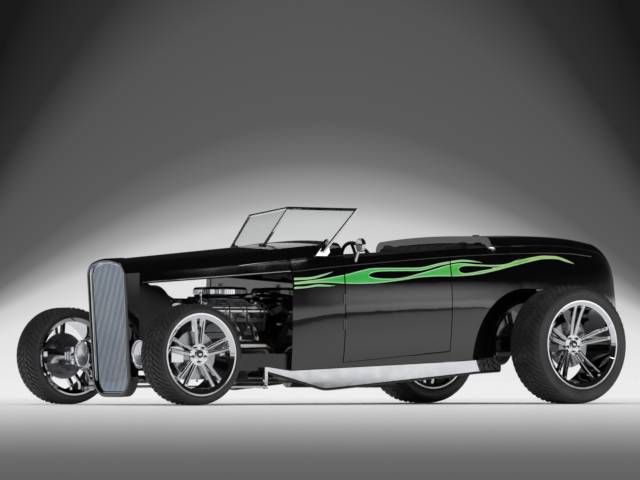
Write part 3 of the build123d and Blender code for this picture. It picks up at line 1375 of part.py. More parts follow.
# Headlamps on stems from the rails, and a round mirror on the left door
lamp_profile = (
    (0.0, LENS_RADIUS + RUNNING_FIT),
    (0.0, LAMP_RADIUS - BREAKOUT),
    *[(row.behind, LAMP_RADIUS - row.inside) for row in LAMP_BOWL],
    (LENS_SET, 0.0),
    (LENS_SET, LENS_RADIUS + RUNNING_FIT),
)
lens_profile = (
    (LENS_SET - RUNNING_FIT, 0.0),
    (LENS_SET - RUNNING_FIT, LENS_RADIUS),
    (0.0, LENS_RADIUS),
    (-LENS_BULGE, 0.0),
)
lamp = at(LAMP_FRONT, LAMP_Y, LAMP_Z)
with BuildPart() as headlamp:
    add(turned(lamp, (-1, 0, 0), lamp_profile))
    foot_station = LAMP_FRONT + STEM_BACK
    foot_z = RAIL_NOSE_LOW + 2 * STEM_RADIUS
    stem = (
        at(LAMP_FRONT + STEM_SEAT, LAMP_Y, LAMP_Z - STEM_DROP),
        at(foot_station, LAMP_Y - STEM_RADIUS, foot_z),
        at(foot_station, RAIL_NOSE_Y, foot_z),
    )
    add(tube(stem, STEM_RADIUS, 2 * STEM_RADIUS))
    add(chassis.part, mode=Mode.SUBTRACT)
keep(both_sides(headlamp.part), "headlamps")
keep(both_sides(turned(lamp, (-1, 0, 0), lens_profile)), "headlamp_lenses")

mirror_head = at(MIRROR_STATION, MIRROR_Y, MIRROR_Z)
mirror_foot_z = body_at(MIRROR_STATION, "belt_z")
with BuildPart() as door_mirror:
    add(bar(mirror_head, (1, 0, 0), MIRROR_RADIUS, MIRROR_WALL))
    fillet(door_mirror.edges().filter_by(GeomType.CIRCLE).group_by(Axis.X)[-1], MIRROR_WALL / 3)
    add(tube((at(MIRROR_STATION, MIRROR_Y - MIRROR_REACH, mirror_foot_z), mirror_head), STEM_RADIUS))
    add(door.part, mode=Mode.SUBTRACT)
keep(door_mirror.part, "door_mirror")
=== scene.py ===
"""Street rod roadster: finishes, tread, flames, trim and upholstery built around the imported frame."""
import json
import logging
import math
from collections.abc import Iterable, Sequence
from dataclasses import dataclass, field
from enum import Enum

import bmesh
import bpy
from mathutils import Matrix, Vector
from mathutils.bvhtree import BVHTree


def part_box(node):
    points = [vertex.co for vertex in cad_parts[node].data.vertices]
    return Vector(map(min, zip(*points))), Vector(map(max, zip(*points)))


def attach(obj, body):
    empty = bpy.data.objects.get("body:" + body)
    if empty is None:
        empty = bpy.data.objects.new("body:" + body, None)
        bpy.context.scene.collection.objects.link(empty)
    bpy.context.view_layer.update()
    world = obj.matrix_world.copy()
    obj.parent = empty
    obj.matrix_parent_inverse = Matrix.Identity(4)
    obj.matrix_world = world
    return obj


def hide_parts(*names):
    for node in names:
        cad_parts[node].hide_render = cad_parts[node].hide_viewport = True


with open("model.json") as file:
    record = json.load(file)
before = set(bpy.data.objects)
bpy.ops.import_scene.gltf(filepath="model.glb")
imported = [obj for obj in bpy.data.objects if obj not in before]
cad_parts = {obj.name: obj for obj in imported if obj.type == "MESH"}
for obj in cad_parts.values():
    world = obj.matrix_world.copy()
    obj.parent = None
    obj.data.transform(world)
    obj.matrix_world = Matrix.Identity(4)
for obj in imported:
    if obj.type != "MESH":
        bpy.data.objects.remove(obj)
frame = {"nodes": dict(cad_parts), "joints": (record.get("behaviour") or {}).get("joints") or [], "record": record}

LOG = logging.getLogger("roadster")
CHASSIS = "chassis_and_body"
JOINTS = {row["name"]: row for row in frame["joints"]}
FRONT_AXLE_X = JOINTS["spin_front_left"]["pos_m"][0]
MM = 0.001
BESIDE = 1500.0
SIDES = (("left", 1.0), ("right", -1.0))
Triple = tuple[float, float, float]
Colour = Triple
Pairs = Sequence[tuple[float, float]]
UP = Vector((0.0, 0.0, 1.0))
ACROSS = Vector((0.0, 1.0, 0.0))
FORWARD = Vector((1.0, 0.0, 0.0))


def at(station: float, y: float, z: float) -> Vector:
    """Point from a station behind the front axle, a Y and a height, all in millimetres."""
    return Vector((FRONT_AXLE_X - station * MM, y * MM, z * MM))


def route(marks: Sequence[Triple], way: float = 1.0) -> list[Vector]:
    """Points of a route of given (station, y, height) marks, on the right where way is -1."""
    return [at(station, way * y, z) for station, y, z in marks]


def box_of(node: str) -> tuple[Vector, Vector]:
    """Lowest and highest corner of a node's box."""
    low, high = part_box(node)
    return Vector(low), Vector(high)


def panel_names(panel: str, side: str) -> tuple[str, str]:
    """Node of a side panel and the body that it rides on."""
    node = panel if panel == "cowl" else f"{panel}_{side}"
    return node, node if panel == "door" else CHASSIS


def full_turn(count: int) -> list[float]:
    """Angles of equal steps around a circle."""
    return [2 * math.pi * step / count for step in range(count)]


def arc_path(marks: Sequence[Vector], steps: int = 7) -> list[Vector]:
    """Smooth path through given marks.

    Args:
        marks: Points that the path passes.
        steps: Points for each stretch.

    Returns:
        The path's points.
    """
    path = []
    for index in range(len(marks) - 1):
        before, fore = marks[max(index - 1, 0)], marks[index]
        aft, after = marks[index + 1], marks[min(index + 2, len(marks) - 1)]
        for step in range(steps):
            t = step / steps
            square = (2 * before - 5 * fore + 4 * aft - after) * t ** 2
            cube = (3 * fore - before - 3 * aft + after) * t ** 3
            path.append(0.5 * (2 * fore + (aft - before) * t + square + cube))
    path.append(marks[-1])
    return path


def lerp(first: float, last: float, share: float) -> float:
    """Value part of the way from one number to another."""
    return first + (last - first) * share


def smooth_row(table: Sequence[tuple[float, ...]], place: float) -> list[float]:
    """Read a table of rows at any place by a smooth curve through them.

    Args:
        table: Rows whose first column is the place.
        place: Where to read, in the first column's units.

    Returns:
        The other columns' values there.
    """
    last = len(table) - 2
    index = min(sum(row[0] <= place for row in table[1:-1]), last)
    fore, aft = table[index], table[index + 1]
    run = aft[0] - fore[0]
    share = (place - fore[0]) / run
    rest = 1.0 - share
    values = []
    for column in range(1, len(fore)):
        slopes = []
        for middle in (index, index + 1):
            before, after = table[max(middle - 1, 0)], table[min(middle + 1, last + 1)]
            slopes.append((after[column] - before[column]) / (after[0] - before[0]))
        ends = fore[column] * (1 + 2 * share) * rest ** 2 + aft[column] * (1 + 2 * rest) * share ** 2
        values.append(ends + run * (slopes[0] * share * rest ** 2 - slopes[1] * rest * share ** 2))
    return values


def placed(origin: Vector, direction: Vector) -> Matrix:
    """Frame at a point whose Z axis runs along a direction."""
    return Matrix.Translation(origin) @ direction.to_track_quat("Z", "Y").to_matrix().to_4x4()


class Relief(Enum):
    """Kinds of fine surface relief."""

    PEEL = "orange peel of sprayed paint"
    CAST = "sand-cast grain"
    BRUSHED = "brushed lines"
    LEATHER = "hide grain"
    RUBBER = "moulded rubber"


class NodeSheet:
    """A node tree with short calls to add and join nodes."""

    def __init__(self, tree: bpy.types.NodeTree) -> None:
        """Keep the tree that is drawn on."""
        self.tree = tree

    def add(self, kind: str, **values: object) -> bpy.types.Node:
        """Add a node and set its attributes or, where it has no such attribute, its inputs.

        Args:
            kind: The node's type name.
            values: Attribute or input names, with underscores for spaces.

        Returns:
            The new node.
        """
        node = self.tree.nodes.new(kind)
        for key, value in values.items():
            if hasattr(node, key):
                setattr(node, key, value)
            else:
                node.inputs[key.replace("_", " ")].default_value = value
        return node

    def join(self, source: bpy.types.NodeSocket, target: bpy.types.NodeSocket) -> None:
        """Link an output to an input."""
        self.tree.links.new(source, target)

    def math(self, operation: str, first: object, second: object = 0.0) -> bpy.types.NodeSocket:
        """Add a math node on two values or sockets.

        Args:
            operation: The node's operation.
            first: A number or a socket.
            second: A number or a socket.

        Returns:
            The result's socket.
        """
        node = self.add("ShaderNodeMath", operation=operation)
        for slot, value in zip(node.inputs, (first, second)):
            if isinstance(value, bpy.types.NodeSocket):
                self.join(value, slot)
            else:
                slot.default_value = value
        return node.outputs[0]


class ShaderGroups:
    """Node groups for effects that several finishes share."""

    def __init__(self) -> None:
        """Build each group once."""
        self.drift = self.build_drift()
        self.tone = self.build_tone()
        self.reliefs = {
            Relief.PEEL: self.build_noise_relief("paint_peel", 2.0),
            Relief.CAST: self.build_noise_relief("cast_grain", 8.0),
            Relief.BRUSHED: self.build_noise_relief("brush_lines", 3.0, (1.0, 1.0, 24.0)),
            Relief.LEATHER: self.build_cell_relief("hide_grain"),
            Relief.RUBBER: self.build_noise_relief("rubber_skin", 6.0),
        }

    @staticmethod
    def start(name: str, numbers: dict[str, float], colours: Iterable[str], output: str) -> NodeSheet:
        """Start a group with its sockets.

        Args:
            name: The group's name.
            numbers: Float inputs with their defaults.
            colours: Names of the colour inputs.
            output: Name of the output, a colour if the group has colour inputs.

        Returns:
            The sheet to draw the group on.
        """
        tree = bpy.data.node_groups.new(name, "ShaderNodeTree")
        for key, value in numbers.items():
            socket = tree.interface.new_socket(key, in_out="INPUT", socket_type="NodeSocketFloat")
            socket.default_value = value
        for key in colours:
            tree.interface.new_socket(key, in_out="INPUT", socket_type="NodeSocketColor")
        kind = "NodeSocketColor" if colours else "NodeSocketFloat"
        tree.interface.new_socket(output, in_out="OUTPUT", socket_type=kind)
        return NodeSheet(tree)

    def build_drift(self) -> bpy.types.NodeTree:
        """Group that lets a value wander between two limits."""
        sheet = self.start("value_drift", {"Scale": 4.0, "Low": 0.2, "High": 0.4}, (), "Value")
        ends = sheet.add("NodeGroupInput"), sheet.add("NodeGroupOutput")
        place = sheet.add("ShaderNodeTexCoord")
        noise = sheet.add("ShaderNodeTexNoise", Detail=4.0)
        span = sheet.add("ShaderNodeMapRange", From_Min=0.3, From_Max=0.7)
        sheet.join(place.outputs["Object"], noise.inputs["Vector"])
        sheet.join(ends[0].outputs["Scale"], noise.inputs["Scale"])
        sheet.join(noise.outputs[0], span.inputs["Value"])
        sheet.join(ends[0].outputs["Low"], span.inputs["To Min"])
        sheet.join(ends[0].outputs["High"], span.inputs["To Max"])
        sheet.join(span.outputs[0], ends[1].inputs["Value"])
        return sheet.tree

    def build_tone(self) -> bpy.types.NodeTree:
        """Group that mixes two colours by soft cloudy patches."""
        sheet = self.start("colour_drift", {"Scale": 4.0}, ("Main", "Patch"), "Colour")
        ends = sheet.add("NodeGroupInput"), sheet.add("NodeGroupOutput")
        place = sheet.add("ShaderNodeTexCoord")
        noise = sheet.add("ShaderNodeTexNoise", Detail=6.0)
        span = sheet.add("ShaderNodeMapRange", From_Min=0.42, From_Max=0.68)
        mix = sheet.add("ShaderNodeMix", data_type="RGBA")
        sheet.join(place.outputs["Object"], noise.inputs["Vector"])
        sheet.join(ends[0].outputs["Scale"], noise.inputs["Scale"])
        sheet.join(noise.outputs[0], span.inputs["Value"])
        sheet.join(span.outputs[0], mix.inputs[0])
        sheet.join(ends[0].outputs["Main"], mix.inputs[6])
        sheet.join(ends[0].outputs["Patch"], mix.inputs[7])
        sheet.join(mix.outputs[2], ends[1].inputs["Colour"])
        return sheet.tree

    def build_noise_relief(self, name: str, detail: float,
                           stretch: Triple = (1.0, 1.0, 1.0)) -> bpy.types.NodeTree:
        """Group that gives a noise height, stretched for brushed lines.

        Args:
            name: The group's name.
            detail: Octaves of noise.
            stretch: Scale along each axis.

        Returns:
            The node group.
        """
        sheet = self.start(name, {"Scale": 100.0}, (), "Height")
        ends = sheet.add("NodeGroupInput"), sheet.add("NodeGroupOutput")
        place = sheet.add("ShaderNodeTexCoord")
        spread = sheet.add("ShaderNodeMapping", Scale=stretch)
        noise = sheet.add("ShaderNodeTexNoise", Detail=detail)
        sheet.join(place.outputs["Object"], spread.inputs["Vector"])
        sheet.join(spread.outputs[0], noise.inputs["Vector"])
        sheet.join(ends[0].outputs["Scale"], noise.inputs["Scale"])
        sheet.join(noise.outputs[0], ends[1].inputs["Height"])
        return sheet.tree

    def build_cell_relief(self, name: str) -> bpy.types.NodeTree:
        """Group that gives the pebbled height of hide."""
        sheet = self.start(name, {"Scale": 300.0}, (), "Height")
        ends = sheet.add("NodeGroupInput"), sheet.add("NodeGroupOutput")
        place = sheet.add("ShaderNodeTexCoord")
        cells = sheet.add("ShaderNodeTexVoronoi", feature="SMOOTH_F1")
        creases = sheet.add("ShaderNodeTexNoise", Scale=26.0, Detail=5.0)
        sheet.join(place.outputs["Object"], cells.inputs["Vector"])
        sheet.join(place.outputs["Object"], creases.inputs["Vector"])
        sheet.join(ends[0].outputs["Scale"], cells.inputs["Scale"])
        total = sheet.math("ADD", cells.outputs["Distance"], sheet.math("MULTIPLY", creases.outputs[0], 0.8))
        sheet.join(total, ends[1].inputs["Height"])
        return sheet.tree


@dataclass(frozen=True)
class Finish:
    """One surface finish and the record slot it stands for."""

    name: str
    slot: str
    colour: Colour
    patch: Colour
    rough: tuple[float, float]
    relief: Relief = Relief.PEEL
    relief_scale: float = 60.0
    relief_depth: float = 0.02
    drift_scale: float = 5.0
    metallic: float = 0.0
    coat: float = 0.0
    coat_ior: float = 1.5
    ior: float = 1.5
    transmission: float = 0.0
    sheen: float = 0.0

    def build(self, groups: ShaderGroups) -> bpy.types.Material:
        """Make the finish's material.

        Args:
            groups: The shared node groups.

        Returns:
            The material, with its colour, roughness and relief from nodes.
        """
        material = bpy.data.materials.new(self.name)
        material.use_nodes = True
        sheet = NodeSheet(material.node_tree)
        shader = sheet.tree.nodes["Principled BSDF"]
        fixed = {
            "Metallic": self.metallic,
            "IOR": self.ior,
            "Transmission Weight": self.transmission,
            "Coat Weight": self.coat,
            "Coat IOR": self.coat_ior,
            "Coat Roughness": 0.02,
            "Sheen Weight": self.sheen,
        }
        for key, value in fixed.items():
            shader.inputs[key].default_value = value
        tone = sheet.add("ShaderNodeGroup", node_tree=groups.tone)
        tone.inputs["Scale"].default_value = self.drift_scale
        tone.inputs["Main"].default_value = (*self.colour, 1.0)
        tone.inputs["Patch"].default_value = (*self.patch, 1.0)
        sheet.join(tone.outputs[0], shader.inputs["Base Color"])
        drift = sheet.add("ShaderNodeGroup", node_tree=groups.drift)
        for key, value in zip(("Scale", "Low", "High"), (self.drift_scale * 2.3, *self.rough)):
            drift.inputs[key].default_value = value
        sheet.join(drift.outputs[0], shader.inputs["Roughness"])
        relief = sheet.add("ShaderNodeGroup", node_tree=groups.reliefs[self.relief])
        relief.inputs["Scale"].default_value = self.relief_scale
        bump = sheet.add("ShaderNodeBump", Strength=self.relief_depth, Distance=0.002)
        sheet.join(relief.outputs[0], bump.inputs["Height"])
        sheet.join(bump.outputs[0], shader.inputs["Normal"])
        return material


class Palette:
    """All finishes of the car, built once each."""

    # Columns: name, slot, main colour, patch colour, roughness limits, relief, its scale and its depth.
    FINISHES = (
        Finish("gloss_black_paint", "black_paint",
               (0.0016, 0.0016, 0.0020), (0.0024, 0.0022, 0.0026), (0.02, 0.05),
               Relief.PEEL, 45.0, 0.002, coat=1.0, coat_ior=1.72, ior=1.45),
        Finish("bright_chrome", "chrome",
               (0.86, 0.87, 0.89), (0.80, 0.81, 0.84), (0.02, 0.045),
               Relief.PEEL, 30.0, 0.0006, metallic=1.0),
        Finish("blue_grille_steel", "chrome",
               (0.60, 0.67, 0.76), (0.50, 0.58, 0.68), (0.05, 0.12),
               Relief.PEEL, 60.0, 0.002, metallic=1.0),
        Finish("satin_black_steel", "black_steel",
               (0.018, 0.018, 0.02), (0.028, 0.027, 0.028), (0.25, 0.42),
               Relief.CAST, 160.0, 0.05),
        Finish("gloss_black_steel", "black_steel",
               (0.008, 0.008, 0.009), (0.014, 0.014, 0.016), (0.08, 0.16),
               Relief.PEEL, 70.0, 0.015, coat=0.6),
        Finish("polished_aluminium", "aluminium",
               (0.78, 0.79, 0.81), (0.66, 0.67, 0.70), (0.10, 0.24),
               Relief.CAST, 120.0, 0.05, metallic=1.0),
        Finish("cast_aluminium", "aluminium",
               (0.56, 0.57, 0.59), (0.44, 0.45, 0.47), (0.32, 0.5),
               Relief.CAST, 260.0, 0.18, metallic=1.0),
        Finish("engine_enamel", "engine_paint",
               (0.02, 0.021, 0.024), (0.034, 0.034, 0.038), (0.16, 0.32),
               Relief.CAST, 220.0, 0.12, coat=0.4),
        Finish("brushed_steel", "bare_steel",
               (0.56, 0.56, 0.58), (0.46, 0.46, 0.49), (0.18, 0.34),
               Relief.BRUSHED, 90.0, 0.08, metallic=1.0),
        Finish("heat_stained_steel", "bare_steel",
               (0.68, 0.66, 0.64), (0.52, 0.47, 0.44), (0.10, 0.24),
               Relief.BRUSHED, 60.0, 0.04, drift_scale=7.0, metallic=1.0),
        Finish("tread_rubber", "tyre",
               (0.016, 0.016, 0.017), (0.026, 0.025, 0.025), (0.40, 0.58),
               Relief.RUBBER, 420.0, 0.14, drift_scale=9.0),
        Finish("sidewall_rubber", "tyre",
               (0.030, 0.030, 0.031), (0.044, 0.043, 0.043), (0.26, 0.38),
               Relief.RUBBER, 300.0, 0.08, drift_scale=7.0),
        Finish("black_hide", "leather",
               (0.006, 0.006, 0.006), (0.011, 0.010, 0.010), (0.36, 0.52),
               Relief.LEATHER, 420.0, 0.28, drift_scale=8.0, sheen=0.03),
        Finish("wool_carpet", "leather",
               (0.012, 0.012, 0.013), (0.026, 0.026, 0.027), (0.85, 0.98),
               Relief.CAST, 900.0, 0.6, drift_scale=30.0, sheen=0.4),
        Finish("clear_glass", "clear_glass",
               (0.95, 0.97, 0.96), (0.92, 0.95, 0.94), (0.0, 0.012),
               Relief.PEEL, 12.0, 0.002, transmission=1.0, ior=1.12),
        Finish("fluted_lens_glass", "clear_glass",
               (0.97, 0.98, 0.99), (0.92, 0.94, 0.97), (0.02, 0.06),
               Relief.BRUSHED, 26.0, 0.25, transmission=1.0, ior=1.3),
        Finish("ruby_lens", "red_lens",
               (0.42, 0.006, 0.008), (0.30, 0.004, 0.006), (0.03, 0.09),
               Relief.CAST, 190.0, 0.2, coat=1.0, transmission=0.25),
        Finish("moulded_black", "black_steel",
               (0.014, 0.014, 0.015), (0.022, 0.022, 0.023), (0.38, 0.55),
               Relief.RUBBER, 380.0, 0.08),
        Finish("dial_face", "black_steel",
               (0.70, 0.69, 0.64), (0.62, 0.61, 0.56), (0.4, 0.5),
               Relief.PEEL, 200.0, 0.02),
        Finish("dial_ink", "black_steel",
               (0.02, 0.02, 0.02), (0.05, 0.045, 0.04), (0.4, 0.55),
               Relief.PEEL, 200.0, 0.02),
        Finish("silvered_glass", "chrome",
               (0.90, 0.92, 0.93), (0.88, 0.90, 0.92), (0.0, 0.015),
               Relief.PEEL, 20.0, 0.001, metallic=1.0),
        Finish("core_fins", "black_steel",
               (0.010, 0.010, 0.011), (0.020, 0.020, 0.022), (0.4, 0.6),
               Relief.BRUSHED, 160.0, 0.5),
    )

    def __init__(self) -> None:
        """Build the shared groups and every material."""
        groups = ShaderGroups()
        self.finishes = {finish.name: finish for finish in self.FINISHES}
        self.materials = {finish.name: finish.build(groups) for finish in self.FINISHES}
        self.materials["flame_paint"] = self.build_flame(groups)

    @staticmethod
    def build_flame(groups: ShaderGroups) -> bpy.types.Material:
        """Make the airbrushed flame paint: green body, mint edges and yellow tips under gloss lacquer.

        Args:
            groups: The shared node groups.

        Returns:
            The material, coloured by the pieces' own edge and tip attributes.
        """
        material = bpy.data.materials.new("flame_paint")
        material.use_nodes = True
        sheet = NodeSheet(material.node_tree)
        shader = sheet.tree.nodes["Principled BSDF"]
        shader.inputs["Coat Weight"].default_value = 1.0
        shader.inputs["Coat Roughness"].default_value = 0.02
        body = sheet.add("ShaderNodeGroup", node_tree=groups.tone)
        body.inputs["Scale"].default_value = 6.0
        body.inputs["Main"].default_value = (0.035, 0.50, 0.075, 1.0)
        body.inputs["Patch"].default_value = (0.05, 0.58, 0.10, 1.0)
        tip = sheet.add("ShaderNodeAttribute", attribute_name="tip")
        edge = sheet.add("ShaderNodeAttribute", attribute_name="edge")
        warm = sheet.add("ShaderNodeMix", data_type="RGBA")
        warm.inputs[7].default_value = (0.50, 0.72, 0.10, 1.0)
        rim = sheet.add("ShaderNodeMix", data_type="RGBA")
        rim.inputs[7].default_value = (0.52, 0.86, 0.52, 1.0)
        sheet.join(tip.outputs["Fac"], warm.inputs[0])
        sheet.join(body.outputs[0], warm.inputs[6])
        sheet.join(edge.outputs["Fac"], rim.inputs[0])
        sheet.join(warm.outputs[2], rim.inputs[6])
        sheet.join(rim.outputs[2], shader.inputs["Base Color"])
        drift = sheet.add("ShaderNodeGroup", node_tree=groups.drift)
        for key, value in zip(("Scale", "Low", "High"), (9.0, 0.12, 0.22)):
            drift.inputs[key].default_value = value
        sheet.join(drift.outputs[0], shader.inputs["Roughness"])
        return material


class MeshDraft:
    """Vertices and faces gathered for one joined piece."""

    def __init__(self) -> None:
        """Start empty."""
        self.points: list[Vector] = []
        self.faces: list[tuple[int, ...]] = []

    def rings(self, rows: Sequence[Sequence[Vector]], around: bool = True, along: bool = False) -> None:
        """Skin rows of points with quads.

        Args:
            rows: Rows of equal length.
            around: Whether each row closes on itself.
            along: Whether the last row joins the first.
        """
        base, width, count = len(self.points), len(rows[0]), len(rows)
        self.points.extend(point for row in rows for point in row)
        for row in range(count if along else count - 1):
            for column in range(width if around else width - 1):
                near, far = base + row * width, base + (row + 1) % count * width
                step = (column + 1) % width
                self.faces.append((near + column, near + step, far + step, far + column))

    def cap(self, first: int, count: int) -> None:
        """Close a run of points with one face."""
        self.faces.append(tuple(range(first, first + count)))

    def lathe(self, place: Matrix, profile: Pairs, sides: int = 32) -> None:
        """Turn a profile about a frame's Z axis.

        Args:
            place: The frame.
            profile: (along, radius) pairs in metres; a radius of zero closes the end.
            sides: Points around.
        """
        rows = []
        for along, radius in profile:
            reach = max(radius, 1e-5)
            rows.append([place @ Vector((reach * math.cos(t), reach * math.sin(t), along))
                         for t in full_turn(sides)])
        self.rings(rows)

    def sweep(self, path: Sequence[Vector], radius: float, sides: int = 10, closed: bool = False,
              flat: float = 1.0) -> None:
        """Run a round or flattened section along a path.

        Args:
            path: Points of the path.
            radius: The section's radius.
            sides: Points around.
            closed: Whether the path closes on itself.
            flat: Height of the section's second axis against its first.
        """
        rows = []
        count = len(path)
        side = None
        for index, point in enumerate(path):
            before = path[index - 1] if index or closed else point
            after = path[(index + 1) % count] if index < count - 1 or closed else point
            run = (after - before).normalized()
            if side is None:
                side = run.cross(UP if abs(run.z) < 0.9 else FORWARD)
            side = (side - run * side.dot(run)).normalized()
            lift = side.cross(run)
            rows.append([point + side * radius * math.cos(t) + lift * radius * flat * math.sin(t)
                         for t in full_turn(sides)])
        first = len(self.points)
        self.rings(rows, along=closed)
        if not closed:
            self.cap(first, sides)
            self.cap(first + (count - 1) * sides, sides)

    def hex_bolt(self, seat: Vector, direction: Vector, size: float) -> None:
        """Six-sided head with a washer and a domed end.

        Args:
            seat: Where the washer rests.
            direction: Outward direction.
            size: Radius of the washer.
        """
        place = placed(seat, direction)
        self.lathe(place, ((0.0, size), (size * 0.22, size), (size * 0.24, size * 0.8)), 20)
        self.lathe(place, ((size * 0.2, size * 0.8), (size * 0.95, size * 0.8), (size * 1.15, size * 0.55),
                           (size * 1.2, 0.0)), 6)

    def slab(self, place: Matrix, half: Triple, round_off: float) -> None:
        """Block with bevelled edges, centred on a frame.

        Args:
            place: The frame.
            half: Half sizes along the frame's axes.
            round_off: Bevel width.
        """
        rows = []
        deep = half[2]
        levels = ((-deep, round_off), (-deep + round_off, 0.0), (deep - round_off, 0.0), (deep, round_off))
        for level, inset in levels:
            x, y, cut = half[0] - inset, half[1] - inset, round_off
            corners = ((x, y - cut), (x - cut, y), (cut - x, y), (-x, y - cut),
                       (-x, cut - y), (cut - x, -y), (x - cut, -y), (x, cut - y))
            rows.append([place @ Vector((across, over, level)) for across, over in corners])
        first = len(self.points)
        self.rings(rows)
        self.cap(first, len(corners))
        self.cap(len(self.points) - len(corners), len(corners))

    def build(self, name: str, palette: Palette, finish: str, body: str,
              sharp: float = 35.0) -> bpy.types.Object:
        """Turn the draft into a piece that rides on a body.

        Args:
            name: The piece's name.
            palette: The finishes.
            finish: Name of its finish.
            body: The body it rides on.
            sharp: Edges turned by more than this many degrees stay sharp.

        Returns:
            The piece.
        """
        mesh = bpy.data.meshes.new(name)
        mesh.from_pydata([tuple(point) for point in self.points], [], self.faces)
        mesh.validate()
        piece = bpy.data.objects.new(name, mesh)
        bpy.context.scene.collection.objects.link(piece)
        mesh.materials.append(palette.materials[finish])
        self.turn_outward(mesh)
        mesh.shade_smooth()
        mesh.set_sharp_from_angle(angle=math.radians(sharp))
        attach(piece, body)
        LOG.info("%s: %d faces on %s", name, len(mesh.polygons), body)
        return piece

    @staticmethod
    def turn_outward(mesh: bpy.types.Mesh) -> None:
        """Make the faces of each closed shell look outward."""
        work = bmesh.new()
        work.from_mesh(mesh)
        bmesh.ops.recalc_face_normals(work, faces=work.faces)
        work.to_mesh(mesh)
        work.free()


class Surfaces:
    """Ray casts on the frame's nodes, so that pieces sit on what carries them."""

    def __init__(self) -> None:
        """Start with no trees."""
        self.trees: dict[str, BVHTree] = {}

    def tree(self, node: str) -> BVHTree:
        """Search tree of one node's mesh."""
        if node not in self.trees:
            mesh = frame["nodes"][node].data
            points = [vertex.co for vertex in mesh.vertices]
            self.trees[node] = BVHTree.FromPolygons(points, [face.vertices for face in mesh.polygons])
        return self.trees[node]

    def hit(self, node: str, start: Vector, direction: Vector, lift: float = 0.0) -> Vector | None:
        """First point of a node along a ray.

        Args:
            node: The node.
            start: The ray's start.
            direction: The ray's direction.
            lift: How far to stand off the surface.

        Returns:
            The point, or None where the ray misses.
        """
        place, normal, _, _ = self.tree(node).ray_cast(start, direction)
        if place is None:
            return None
        if normal.dot(direction) > 0:
            normal = -normal
        return place + normal * lift

    def from_side(self, node: str, station: float, z: float, way: float, lift: float = 0.0) -> Vector | None:
        """Point of a node's outer side at a station and a height in millimetres."""
        return self.hit(node, at(station, way * BESIDE, z), ACROSS * -way, lift)


